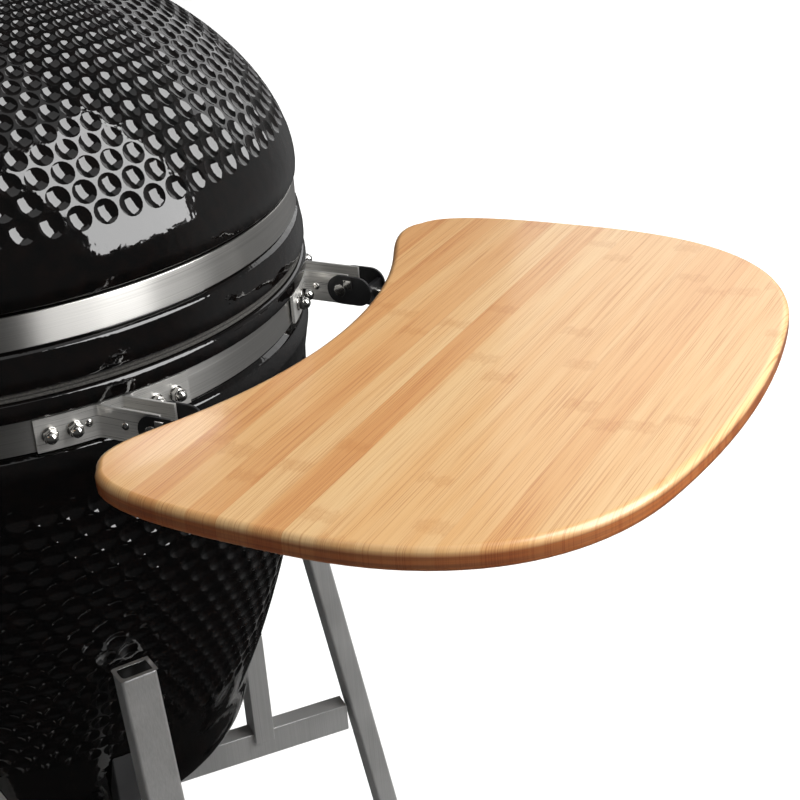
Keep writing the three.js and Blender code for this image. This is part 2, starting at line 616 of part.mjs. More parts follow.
// Moves something made along +Z so that +Z becomes the outward direction at the thermometer.
function gaugeFrame(parent) {
  const group = new THREE.Group();
  group.position.set(0, -GAUGE_OUT, GAUGE_HEIGHT);
  group.rotation.x = Math.PI / 2 - GAUGE_TILT;
  parent.add(group);
  return group;
}

function addGauge(lid) {
  const gauge = gaugeFrame(lid);
  const seat = GAUGE_SEAT;
  const stem = GAUGE_STEM_LENGTH;
  const bezel = 3;
  const cup = turned([
    [0, -stem], [GAUGE_STEM_RADIUS - 1, -stem], [GAUGE_STEM_RADIUS, -stem + 3], [GAUGE_STEM_RADIUS, seat],
    [GAUGE_RADIUS - 2, seat], [GAUGE_RADIUS, seat + 2], [GAUGE_RADIUS, seat + GAUGE_DEPTH],
    [GAUGE_RADIUS - bezel, seat + GAUGE_DEPTH], [GAUGE_RADIUS - bezel, seat + 3], [0, seat + 3],
  ], 24);
  put(gauge, 'thermometer_case', cup, STAINLESS);
  const glassTop = seat + GAUGE_DEPTH - 1;
  const glassRadius = GAUGE_RADIUS - bezel - GAP;
  const glass = turned([[0, glassTop - 2], [glassRadius, glassTop - 2], [glassRadius, glassTop], [0, glassTop]], 24);
  put(gauge, 'thermometer_glass', glass, GLASS);
  const level = seat + 3 + GAP;
  const needle = join(
    bar(3, 4, 'z', [0, 0, level + 2], 12),
    plate(polygon([[-1.6, -8], [1.6, -8], [0.5, GAUGE_RADIUS - 9], [-0.5, GAUGE_RADIUS - 9]]), level + 2, level + 3),
  ).rotate([0, 0, GAUGE_COLD]);
  put(gauge, 'thermometer_pointer', needle, NEEDLE_RED);
}

// Cuts the thermometer's stem hole square to the dome.
function stemHole() {
  const length = 2 * WALL + 40;
  const hole = new THREE.CylinderGeometry(GAUGE_STEM_RADIUS + 2, GAUGE_STEM_RADIUS + 2, length, 10);
  hole.rotateX(Math.PI / 2);
  hole.rotateX(Math.PI / 2 - GAUGE_TILT);
  return solid(hole.translate(0, -GAUGE_OUT, GAUGE_HEIGHT));
}

const HANDLE_INNER = UPPER_BAND_RADIUS + HANDLE_STANDOFF;
const HANDLE_MIDDLE = (UPPER_BAND_BOTTOM + UPPER_BAND_TOP) / 2;

function addHandle(lid) {
  const bottom = HANDLE_MIDDLE - HANDLE_HEIGHT / 2;
  const top = HANDLE_MIDDLE + HANDLE_HEIGHT / 2;
  for (const [name, side] of [['handle_bracket_left', -1], ['handle_bracket_right', 1]]) {
    const at = -90 + side * HANDLE_BRACKET_ANGLE;
    const pad = sector(UPPER_FLANGE, UPPER_FLANGE + PLATE, at - 5, at + 5, UPPER_BAND_BOTTOM, UPPER_BAND_TOP, 3);
    const outer = HANDLE_INNER - CURVE_GAP;
    const post = sector(UPPER_FLANGE + PLATE / 2, outer, at - 0.45, at + 0.45, UPPER_BAND_BOTTOM, UPPER_BAND_TOP, 1);
    const shoe = sector(outer - PLATE, outer, at - 3.2, at + 3.2, UPPER_BAND_BOTTOM, UPPER_BAND_TOP, 3);
    put(lid, name, join(pad, post, shoe), STAINLESS);
  }
  const from = -90 - HANDLE_HALF_ANGLE;
  const to = -90 + HANDLE_HALF_ANGLE;
  const grip = sector(HANDLE_INNER, HANDLE_INNER + HANDLE_DEPTH, from, to, bottom, top, 10);
  put(lid, 'lid_handle', grip, BAMBOO);
}

function addLid(lid) {
  put(lid, 'lid_dome', cut(domeSolid(), stemHole()), GLAZE);
  const band = ring(UPPER_BAND_RADIUS - BAND_THICK, UPPER_BAND_RADIUS, UPPER_BAND_BOTTOM, UPPER_BAND_TOP);
  put(lid, 'upper_band', band, STAINLESS);
  const gasketOuter = RIM_RADIUS - RIM_ROUND;
  const gasketTop = DOME_RIM - GAP;
  put(lid, 'lid_gasket', ring(gasketOuter - GASKET_WIDTH, gasketOuter, gasketTop - GASKET_THICK, gasketTop), FELT);
  addHandle(lid);
  addGauge(lid);
}

// ---------------------------------------------------------------- top vent

const VENT_BASE_TOP = NECK_TOP + GAP + VENT_HEIGHT;
const HATCH_TOP = VENT_BASE_TOP + GAP + VENT_PLATE;
const WHEEL_BOTTOM = HATCH_TOP + RUNNING_GAP;
const VENT_PIVOT_Y = VENT_RADIUS - 9;

// The round holes of the hatch and of the wheel on it.
function ventHoles(low, high, turnDegrees) {
  const holes = [];
  for (let i = 0; i < VENT_HOLES; i += 1) {
    const angle = radians(turnDegrees + 360 * i / VENT_HOLES);
    const centre = [VENT_HOLE_CIRCLE * Math.cos(angle), VENT_HOLE_CIRCLE * Math.sin(angle), (low + high) / 2];
    holes.push(bar(VENT_HOLE_RADIUS, high - low + 2, 'z', centre, 12));
  }
  return holes;
}

const disc = (radius, low, high, sides = 32) => turned([[0, low], [radius, low], [radius, high], [0, high]], sides);

function addVent(lid) {
  const bottom = NECK_TOP + GAP;
  const waist = VENT_RADIUS - 5;
  const collar = turned([
    [NECK_BORE - 4, bottom], [VENT_RADIUS, bottom], [VENT_RADIUS, bottom + 5], [waist, bottom + 8],
    [waist, VENT_BASE_TOP - 5], [VENT_RADIUS, VENT_BASE_TOP - 3], [VENT_RADIUS, VENT_BASE_TOP],
    [NECK_BORE - 4, VENT_BASE_TOP],
  ], 32);
  const socketDepth = 2 * (VENT_PIN_DEPTH + RUNNING_GAP);
  const socket = bar(VENT_PIN_RADIUS + RUNNING_GAP, socketDepth, 'z', [0, VENT_PIVOT_Y, VENT_BASE_TOP]);
  put(lid, 'vent_base', cut(collar, socket), CAST_IRON);
  const plateBottom = VENT_BASE_TOP + GAP;
  const pinLength = VENT_PIN_DEPTH + GAP + VENT_PLATE;
  const pin = bar(VENT_PIN_RADIUS, pinLength, 'z', [0, VENT_PIVOT_Y, HATCH_TOP - pinLength / 2]);
  const pinHead = bar(VENT_PIN_HEAD, 4, 'z', [0, VENT_PIVOT_Y, HATCH_TOP + 1]);
  const bolt = disc(VENT_BOLT_RADIUS, HATCH_TOP - 1, WHEEL_BOTTOM + VENT_PLATE + 1, 16);
  const hatchPlate = cut(disc(VENT_RADIUS, plateBottom, HATCH_TOP), ...ventHoles(plateBottom, HATCH_TOP, 0));
  put(lid, 'vent_hatch', join(hatchPlate, bolt, pin, pinHead), CAST_IRON);
  const wheelRadius = VENT_PIVOT_Y - VENT_PIN_HEAD - 2;
  const wheelTop = WHEEL_BOTTOM + VENT_PLATE;
  const gripEnd = VENT_RADIUS + VENT_GRIP_REACH;
  const half = VENT_GRIP_HALF;
  const grip = block([wheelRadius - 4, -half, WHEEL_BOTTOM], [gripEnd, half, wheelTop]);
  const tab = block([gripEnd - VENT_TAB, -half, WHEEL_BOTTOM], [gripEnd, half, wheelTop + VENT_TAB_HEIGHT]);
  const wheel = cut(
    join(disc(wheelRadius, WHEEL_BOTTOM, wheelTop), grip, tab),
    disc(VENT_BOLT_RADIUS + RUNNING_GAP, HATCH_TOP, wheelTop + 3, 16),
    ...ventHoles(WHEEL_BOTTOM, wheelTop, VENT_REST_TURN),
  );
  put(lid, 'daisy_wheel', wheel, CAST_IRON);
  const low = wheelTop + 1 + GAP;
  const knob = turned([
    [0, low], [7, low], [5, low + 8], [KNOB_RADIUS - 1, low + 14], [KNOB_RADIUS, low + 20],
    [KNOB_RADIUS - 3, low + KNOB_HEIGHT - 5], [KNOB_RADIUS - 8, low + KNOB_HEIGHT], [0, low + KNOB_HEIGHT],
  ], 18);
  put(lid, 'vent_knob', knob, BLACK_PLASTIC);
}

// ---------------------------------------------------------------- side shelves

const BOARD_BOTTOM = BOARD_TOP - BOARD_THICK;
const FOLD_PIN_Z = -LOWER_BAND_HEIGHT / 2;
const YOKE_INNER = ARM_INNER - PLATE / 2 - RUNNING_GAP - YOKE_PLATE;
const YOKE_OUTER = ARM_OUTER + PLATE / 2 + RUNNING_GAP + YOKE_PLATE;

// The board: a scooped inner edge and an arched outer edge, joined by round corners and round horns.
function boardShape() {
  const half = BOARD_HALF_WIDTH;
  const scoop = radians(SCOOP_ANGLE);
  const scoopRadius = BOARD_INNER + SCOOP_SHIFT;
  const inner = [scoopRadius * Math.cos(scoop) - SCOOP_SHIFT, scoopRadius * Math.sin(scoop)];
  const outerEnd = radians(OUTER_ANGLE);
  const outer = [BOARD_OUTER * Math.cos(outerEnd), BOARD_OUTER * Math.sin(outerEnd)];
  const nose = [BOARD_HORN + HORN_NOSE, half - HORN_DROP];
  const curves = [
    [outer, [outer[0] - CORNER_IN, outer[1] + CORNER_LIFT], [BOARD_SHOULDER + CORNER_PULL, half]],
    [[BOARD_SHOULDER, half], [BOARD_SHOULDER - HORN_PULL, half], [BOARD_HORN + HORN_LIFT, half - 2]],
    [nose, [nose[0] - 2 * HORN_TUCK, nose[1] - 0.55 * HORN_DROP], [inner[0] - 2 * HORN_TUCK, inner[1] + HORN_DROP]],
  ];
  const ends = [[BOARD_SHOULDER, half], nose, inner];
  const shape = new THREE.Shape();
  shape.moveTo(outer[0], -outer[1]);
  shape.absarc(0, 0, BOARD_OUTER, -outerEnd, outerEnd, false);
  for (const [i, [, near, far]] of curves.entries()) {
    shape.bezierCurveTo(...near, ...far, ...ends[i]);
  }
  shape.absarc(-SCOOP_SHIFT, 0, scoopRadius, scoop, -scoop, true);
  for (const [start, near, far] of curves.reverse()) {
    shape.bezierCurveTo(far[0], -far[1], near[0], -near[1], start[0], -start[1]);
  }
  return shape;
}

// One bracket on the band, on the shelf's +y side or, mirrored, on its -y side.
function fixedBracket(side) {
  const from = side > 0 ? FLANGE_START : -FLANGE_END;
  const to = side > 0 ? FLANGE_END : -FLANGE_START;
  const flange = sector(LOWER_FLANGE, LOWER_FLANGE + PLATE, from, to, -LOWER_BAND_HEIGHT, 0, 5);
  const arms = [];
  for (const centre of [ARM_INNER, ARM_OUTER]) {
    const y = side * centre;
    const start = Math.sqrt((LOWER_FLANGE + PLATE / 2) ** 2 - (centre + PLATE / 2) ** 2);
    arms.push(block([start, y - PLATE / 2, -LOWER_BAND_HEIGHT], [ARM_REACH, y + PLATE / 2, -ARM_DROP]));
  }
  const length = YOKE_OUTER - YOKE_INNER + 6;
  const pin = bar(FOLD_PIN_RADIUS, length, 'y', [FOLD_PIN_REACH, side * (ARM_INNER + ARM_OUTER) / 2, FOLD_PIN_Z]);
  return join(flange, ...arms, pin);
}

// The part that folds with the board: two cheeks outside the arms, a web, and a rod under the board.
function foldArm(side) {
  const middle = side * (ARM_INNER + ARM_OUTER) / 2;
  const span = (YOKE_OUTER - YOKE_INNER) / 2;
  const outline = stadium(FOLD_PIN_REACH, YOKE_REACH, FOLD_PIN_Z, YOKE_RADIUS);
  const rodZ = BOARD_BOTTOM - ROD_RADIUS - ROD_DROP;
  const rodStart = YOKE_REACH + WEB_SETBACK;
  const webEnd = rodStart + WEB_THICK;
  const parts = [
    cheekXZ(outline, middle - span, middle - span + YOKE_PLATE, 7),
    cheekXZ(outline, middle + span - YOKE_PLATE, middle + span, 7),
    block([rodStart, middle - span + 1, rodZ - WEB_DROP], [webEnd, middle + span - 1, BOARD_BOTTOM + GAP]),
    bar(ROD_RADIUS, ROD_END - rodStart, 'x', [(ROD_END + rodStart) / 2, middle, rodZ]),
  ];
  for (const x of [BOARD_INNER + SADDLE_INNER, ROD_END - SADDLE_OUTER]) {
    parts.push(block(
      [x - SADDLE_HALF_LENGTH, middle - SADDLE_HALF_WIDTH, rodZ - 2],
      [x + SADDLE_HALF_LENGTH, middle + SADDLE_HALF_WIDTH, BOARD_BOTTOM - GAP],
    ));
  }
  const hole = bar(
    FOLD_PIN_RADIUS + RUNNING_GAP, 4 * span, 'y', [FOLD_PIN_REACH, middle, FOLD_PIN_Z],
  );
  return cut(join(...parts), hole);
}

function addShelf(pot, name, azimuth) {
  const shelf = groupAt(pot, 0, 0, 0, azimuth);
  put(shelf, `${name}_shelf_board`, plate(boardShape(), BOARD_BOTTOM, BOARD_TOP, 7), BAMBOO);
  for (const [place, side] of [['a', -1], ['b', 1]]) {
    put(shelf, `${name}_shelf_bracket_${place}`, fixedBracket(side), STAINLESS);
    put(shelf, `${name}_fold_arm_${place}`, foldArm(side), BLACK_STEEL);
  }
}

// ---------------------------------------------------------------- stand

const POT_ORIGIN = POT_HEIGHT + POT_DEPTH;
const LEG_TOP_RADIUS = potRadius(LEG_TOP) + LEG_POT_GAP + LEG_DEPTH / 2;
const legRadius = (height) => LEG_TOP_RADIUS + LEG_SPLAY * (POT_ORIGIN + LEG_TOP - height);
const LEG_FOOT = CASTER_HEIGHT + GAP;
const LEG_LENGTH = POT_ORIGIN + LEG_TOP - LEG_FOOT;

// A rectangular bar that leans outwards, cut level at both ends. Local x points away from the pot.
function leaningBar(depth, width, low, high) {
  const geometry = new THREE.BoxGeometry(depth, width, high - low);
  geometry.translate(0, 0, (high + low) / 2);
  const at = geometry.getAttribute('position');
  for (let i = 0; i < at.count; i += 1) {
    at.setX(i, at.getX(i) + legRadius(at.getZ(i)));
  }
  return solid(geometry);
}

function leg() {
  const top = LEG_FOOT + LEG_LENGTH;
  const tube = leaningBar(LEG_DEPTH, LEG_WIDTH, LEG_FOOT, top);
  const bore = leaningBar(LEG_DEPTH - 2 * LEG_WALL, LEG_WIDTH - 2 * LEG_WALL, LEG_FOOT + LEG_FLOOR, top + 1);
  return cut(tube, bore);
}

function legCap() {
  const top = LEG_FOOT + LEG_LENGTH;
  const shrink = 2 * (LEG_WALL + GAP);
  return leaningBar(LEG_DEPTH - shrink, LEG_WIDTH - shrink, top - CAP_LENGTH, top - CAP_DEPTH);
}

const POST_INNER = potRadius(FOOT_TOP) - POST_TUCK;
const POST_RADIUS = POST_INNER + LEG_DEPTH / 2;
const POST_SHARE = (POST_INNER - FOOT_RADIUS) / (potRadius(FOOT_TOP) - FOOT_RADIUS);
const PAD_BOTTOM = FOOT_TOP - FOOT_HEIGHT * Math.sqrt(1 - POST_SHARE ** 2) + PAD_LIFT;

// Two tubes crossing under the pot, with an upright near each leg.
function standCross() {
  const crossTop = CROSS_HEIGHT + LEG_WIDTH;
  const reach = legRadius(crossTop) - LEG_DEPTH / 2 - CURVE_GAP - LEG_SPLAY * LEG_WIDTH / 2;
  const tubes = [];
  for (const angle of [LEG_ANGLE, -LEG_ANGLE]) {
    const beam = block([-reach, -LEG_DEPTH / 2, CROSS_HEIGHT], [reach, LEG_DEPTH / 2, crossTop]);
    const upright = (x) => block(
      [x - LEG_DEPTH / 2, -LEG_WIDTH / 2, crossTop - CROSS_LAP],
      [x + LEG_DEPTH / 2, LEG_WIDTH / 2, POT_ORIGIN + PAD_BOTTOM - GAP],
    );
    tubes.push(join(beam, upright(POST_RADIUS), upright(-POST_RADIUS)).rotate([0, 0, angle]));
  }
  return join(...tubes);
}

// A rubber wedge between an upright and the pot's rounded side.
function potPad(angle) {
  const body = block(
    [POST_RADIUS - LEG_DEPTH / 2, -LEG_WIDTH / 2, PAD_BOTTOM],
    [POST_RADIUS + LEG_DEPTH / 2, LEG_WIDTH / 2, PAD_BOTTOM + PAD_BLANK],
  ).rotate([0, 0, angle]);
  return cut(body, turned([...potOutside(CURVE_GAP), [0, -POT_DEPTH], [0, POT_RIM]]));
}

const AXLE_HEIGHT = WHEEL_RADIUS;
const FORK_HALF = WHEEL_WIDTH / 2 + 2 + FORK_PLATE;

// Local x points along the caster's trail.
function casterFork() {
  const crownBottom = CASTER_HEIGHT - CROWN_HEIGHT;
  const crown = turned([
    [0, crownBottom], [CROWN_RADIUS, crownBottom], [CROWN_RADIUS, CASTER_HEIGHT - 3],
    [CROWN_RADIUS - 6, CASTER_HEIGHT], [0, CASTER_HEIGHT],
  ], 18);
  const top = CASTER_HEIGHT - 6;
  const outline = polygon([
    [-FORK_TOP_HALF, top], [FORK_TOP_HALF, top], [CASTER_TRAIL + AXLE_EYE + 3, AXLE_HEIGHT + 6],
    [CASTER_TRAIL + AXLE_EYE, AXLE_HEIGHT - AXLE_EYE], [CASTER_TRAIL - AXLE_EYE, AXLE_HEIGHT - AXLE_EYE],
  ]);
  const axle = bar(AXLE_RADIUS, 2 * FORK_HALF + 6, 'y', [CASTER_TRAIL, 0, AXLE_HEIGHT]);
  const bridge = block([-FORK_TOP_HALF, -FORK_HALF, crownBottom], [FORK_TOP_HALF, FORK_HALF, top]);
  return join(
    crown, bridge, axle,
    cheekXZ(outline, -FORK_HALF, -FORK_HALF + FORK_PLATE),
    cheekXZ(outline, FORK_HALF - FORK_PLATE, FORK_HALF),
  );
}

function casterWheel() {
  const half = WHEEL_WIDTH / 2;
  const bore = AXLE_RADIUS + RUNNING_GAP;
  const outline = [
    [bore, -half], [bore + 7, -half], [bore + 9, -half + 5], [WHEEL_RADIUS - 9, -half + 5],
    [WHEEL_RADIUS - 5, -half], [WHEEL_RADIUS, -half + 5],
  ];
  const mirrored = outline.map(([r, z]) => [r, -z]).reverse();
  return turned([...outline, ...mirrored], 20);
}

function brakeLever() {
  const back = -BRAKE_SETBACK;
  const half = BRAKE_HALF_WIDTH;
  const low = CASTER_HEIGHT - 24;
  return join(
    block([back - BRAKE_LENGTH, -half, low], [back - 3, half, low + BRAKE_PLATE]),
    block([back - 6, -half, low], [back, half, low + BRAKE_PLATE + 5]),
  );
}

function addCaster(stand, name, angle, hasBrake) {
  const x = legRadius(LEG_FOOT) * Math.cos(radians(angle));
  const y = legRadius(LEG_FOOT) * Math.sin(radians(angle));
  const trail = x > 0 ? 0 : 180;
  const caster = groupAt(stand, x, y, 0, trail);
  put(caster, `${name}_caster_fork`, casterFork(), BLACK_STEEL);
  const hub = groupAt(caster, CASTER_TRAIL, 0, AXLE_HEIGHT);
  const wheel = put(hub, `${name}_caster_wheel`, casterWheel(), RUBBER);
  wheel.rotation.x = Math.PI / 2;
  if (hasBrake) put(caster, `${name}_caster_brake`, brakeLever(), BLACK_PLASTIC);
}

const LEG_PLACES = [
  ['front_right', -LEG_ANGLE, true],
  ['rear_right', LEG_ANGLE, false],
  ['rear_left', 180 - LEG_ANGLE, false],
  ['front_left', 180 + LEG_ANGLE, true],
];

function addStand(stand, pot) {
  for (const [name, angle, hasBrake] of LEG_PLACES) {
    const side = groupAt(stand, 0, 0, 0, angle);
    put(side, `${name}_leg`, leg(), LEG_STEEL);
    put(side, `${name}_leg_cap`, legCap(), BLACK_PLASTIC);
    put(pot, `${name}_pot_pad`, potPad(angle), RUBBER);
    addCaster(stand, name, angle, hasBrake);
  }
  put(stand, 'stand_cross', standCross(), LEG_STEEL);
}

// ---------------------------------------------------------------- the grill

const grill = new THREE.Group();
const axis = groupAt(grill, 0, 0, 0);
const pot = groupAt(axis, 0, 0, POT_ORIGIN);
const lid = groupAt(axis, 0, 0, POT_ORIGIN);

addPot(pot);
addHinge(pot, lid);
addLid(lid);
addVent(lid);
addShelf(pot, 'right', -SHELF_FORWARD);
addShelf(pot, 'left', 180 + SHELF_FORWARD);
addStand(axis, pot);

// The origin is on the floor, under the middle of the whole grill.
grill.updateMatrixWorld(true);
const middle = new THREE.Box3().setFromObject(grill, true).getCenter(new THREE.Vector3());
axis.position.set(-middle.x, -middle.y, 0);
grill.updateMatrixWorld(true);

export default grill;
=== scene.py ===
import json
import math
from contextlib import contextmanager

import bpy
import numpy as np
from mathutils import Matrix, Vector


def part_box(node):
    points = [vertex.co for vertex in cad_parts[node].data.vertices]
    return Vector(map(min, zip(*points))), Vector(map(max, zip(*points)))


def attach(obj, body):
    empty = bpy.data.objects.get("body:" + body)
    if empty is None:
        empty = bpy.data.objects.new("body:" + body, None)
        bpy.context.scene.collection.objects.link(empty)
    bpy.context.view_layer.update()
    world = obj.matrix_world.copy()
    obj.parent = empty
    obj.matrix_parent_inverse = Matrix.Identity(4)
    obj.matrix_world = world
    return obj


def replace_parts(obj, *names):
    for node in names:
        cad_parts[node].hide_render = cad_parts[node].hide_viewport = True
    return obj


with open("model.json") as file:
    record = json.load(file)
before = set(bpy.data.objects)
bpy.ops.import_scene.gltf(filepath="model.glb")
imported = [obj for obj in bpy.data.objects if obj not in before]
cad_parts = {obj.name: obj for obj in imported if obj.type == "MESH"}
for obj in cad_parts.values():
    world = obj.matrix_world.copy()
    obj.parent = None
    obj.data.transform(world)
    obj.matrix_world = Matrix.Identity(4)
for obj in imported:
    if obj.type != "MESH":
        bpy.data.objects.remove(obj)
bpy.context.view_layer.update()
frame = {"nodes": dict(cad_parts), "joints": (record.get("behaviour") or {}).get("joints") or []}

# Every size below is in millimetres. A piece is made in the frame that it is placed in, and its mesh is
# then moved to its place in metres.
MM = 0.001
JOINTS = {joint["name"]: joint for joint in frame["joints"]}


def middle(node):
    low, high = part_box(node)
    return (low + high) / 2


BAND_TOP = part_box("lower_band")[1].z
AXIS = middle("upper_band")
GRILL = Matrix.Translation((AXIS.x, AXIS.y, BAND_TOP))


def radius_of(cad_node):
    """Half of a node's width, in millimetres."""
    low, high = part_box(cad_node)
    return (high.x - low.x) / 2 / MM


def level_of(cad_node):
    """A node's lowest and highest points, in millimetres from the top of the lower band."""
    low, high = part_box(cad_node)
    return (low.z - BAND_TOP) / MM, (high.z - BAND_TOP) / MM


def heading(joint):
    """The direction in which a shelf reaches out from the pot, in degrees, from its fold axis."""
    x, y, _ = JOINTS[joint]["axis"]
    return math.degrees(math.atan2(-x, y))


RIGHT_HEADING = heading("right_shelf_fold")
LEFT_HEADING = heading("left_shelf_fold")


def turn(degrees, axis="Z"):
    return Matrix.Rotation(math.radians(degrees), 4, axis)


def shift(x, y, z):
    return Matrix.Translation((x, y, z))


# ------------------------------------------------------------------------------------------ finishes

GRILL_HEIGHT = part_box("right_shelf_board")[1].z


def linear(colour):
    """An sRGB hex colour as linear red, green, blue and alpha."""
    parts = [int(colour[i:i + 2], 16) / 255 for i in (1, 3, 5)]
    return tuple(c / 12.92 if c <= 0.04045 else ((c + 0.055) / 1.055) ** 2.4 for c in parts) + (1.0,)


def node(material, kind, settings=None, stops=None, **inputs):
    """Adds a node, with its settings, its colour stops, and a value or a linked output for each input."""
    made = material.node_tree.nodes.new("ShaderNode" + kind)
    for name, value in (settings or {}).items():
        setattr(made, name, value)
    if stops:
        points = made.color_ramp.elements
        while len(points) < len(stops):
            points.new(0.5)
        for point, (position, colour) in zip(points, stops):
            point.position = position
            point.color = linear(colour)
    for name, value in inputs.items():
        socket = made.inputs[int(name[1:]) if name[1:].isdigit() else name.replace("_", " ")]
        if isinstance(value, bpy.types.NodeSocket):
            material.node_tree.links.new(value, socket)
        else:
            socket.default_value = value
    return made


def finish(name, colour, roughness, metallic=0.0, **shader):
    """A material with its shader's own values set, and the shader to link patterns to."""
    material = bpy.data.materials.new(name)
    material.use_nodes = True
    principled = material.node_tree.nodes["Principled BSDF"]
    principled.inputs["Base Color"].default_value = linear(colour)
    principled.inputs["Roughness"].default_value = roughness
    principled.inputs["Metallic"].default_value = metallic
    for key, value in shader.items():
        principled.inputs[key.replace("_", " ").title().replace("Ior", "IOR")].default_value = value
    return material, principled


def link(material, output, principled, name):
    material.node_tree.links.new(output, principled.inputs[name])


def grain(material, per_metre, detail=3.0, roughness=0.5):
    """Noise on the piece's own coordinates, with its features per metre along x, y and z."""
    place = node(material, "TexCoord").outputs["Object"]
    scaled = node(material, "Mapping", Vector=place, Scale=per_metre).outputs["Vector"]
    made = node(material, "TexNoise", Vector=scaled, Scale=1.0, Detail=detail, Roughness=roughness)
    return made.outputs["Fac"]


def spread(material, value, low, high):
    """A pattern between 0 and 1 as a value between low and high."""
    return node(material, "MapRange", Value=value, To_Min=low, To_Max=high).outputs["Result"]


def bump(material, principled, height, depth_mm, strength=1.0):
    made = node(material, "Bump", Height=height, Distance=depth_mm * MM, Strength=strength)
    link(material, made.outputs["Normal"], principled, "Normal")


def glaze():
    """Black gloss glaze fired on stoneware: a deep mirror gloss over a skin that flows a little unevenly."""
    material, principled = finish("Black gloss glaze on stoneware", "#070606", 0.05, ior=1.62)
    flow = grain(material, (95, 95, 95), 2.0)
    tint = node(material, "ValToRGB", stops=[(0.35, "#050505"), (0.75, "#0C0807")], Fac=flow)
    link(material, tint.outputs["Color"], principled, "Base Color")
    link(material, spread(material, grain(material, (22, 22, 22)), 0.03, 0.08), principled, "Roughness")
    bump(material, principled, flow, 0.35)
    return material


def bisque():
    """Unglazed buff stoneware: dry and matt, with iron specks."""
    material, principled = finish("Unglazed buff stoneware", "#B7A182", 0.92)
    specks = grain(material, (420, 420, 420), 4.0, 0.7)
    clays = [(0.3, "#6E5C48"), (0.42, "#B09A7B"), (0.7, "#C3AE90")]
    tint = node(material, "ValToRGB", stops=clays, Fac=specks)
    link(material, tint.outputs["Color"], principled, "Base Color")
    bump(material, principled, specks, 0.15)
    return material


def brushed_band():
    """Stainless strip brushed along its length: bright, and drawn out across the brushing."""
    material, principled = finish(
        "Stainless strip, brushed along", "#CFCDC9", 0.3, 1.0, anisotropic=0.8, anisotropic_rotation=0.25,
    )
    round_axis = node(material, "Tangent", {"direction_type": "RADIAL", "axis": "Z"}).outputs["Tangent"]
    link(material, round_axis, principled, "Tangent")
    lines = grain(material, (5, 5, 2600), 4.0, 0.6)
    link(material, spread(material, lines, 0.24, 0.38), principled, "Roughness")
    tint = node(material, "ValToRGB", stops=[(0.3, "#BDBBB7"), (0.7, "#D9D7D3")], Fac=lines)
    link(material, tint.outputs["Color"], principled, "Base Color")
    bump(material, principled, lines, 0.012)
    return material


def brushed(name, per_metre, dark, light, rough=(0.22, 0.36), metallic=1.0):
    """Stainless plate with a brushed finish, drawn coarser than the real 0.1 mm lines so that it shows."""
    material, principled = finish(name, light, 0.3, metallic)
    lines = grain(material, per_metre, 4.0, 0.62)
    clouds = grain(material, (16, 16, 16), 2.0)
    link(material, spread(material, lines, *rough), principled, "Roughness")
    fine = spread(material, lines, 0, 0.5)
    both = node(material, "Math", {"operation": "MULTIPLY_ADD"}, i0=clouds, i1=0.5, i2=fine)
    tint = node(material, "ValToRGB", stops=[(0.3, dark), (0.7, light)], Fac=both.outputs["Value"])
    link(material, tint.outputs["Color"], principled, "Base Color")
    bump(material, principled, lines, 0.015)
    return material


def polished():
    """Polished stainless fasteners: almost a mirror, with fine handling marks."""
    material, principled = finish("Polished stainless", "#DCDAD6", 0.1, 1.0)
    link(material, spread(material, grain(material, (700, 700, 700)), 0.06, 0.16), principled, "Roughness")
    return material


def coated(name, colour, roughness, grit, depth, metallic=0.0, light=None):
    """A coated, moulded or cast surface: an even colour over a fine pebbled skin of the given grit in mm."""
    material, principled = finish(name, colour, roughness, metallic)
    pebbles = grain(material, (1000 / grit,) * 3, 2.0, 0.6)
    patches = grain(material, (35, 35, 35), 3.0)
    tint = node(material, "ValToRGB", stops=[(0.35, colour), (0.7, light or colour)], Fac=patches)
    link(material, tint.outputs["Color"], principled, "Base Color")
    link(material, spread(material, patches, roughness - 0.06, roughness + 0.06), principled, "Roughness")
    bump(material, principled, pebbles, depth)
    return material


STRIP_WIDTH = 23.0
KNUCKLE_SPACING = 235.0


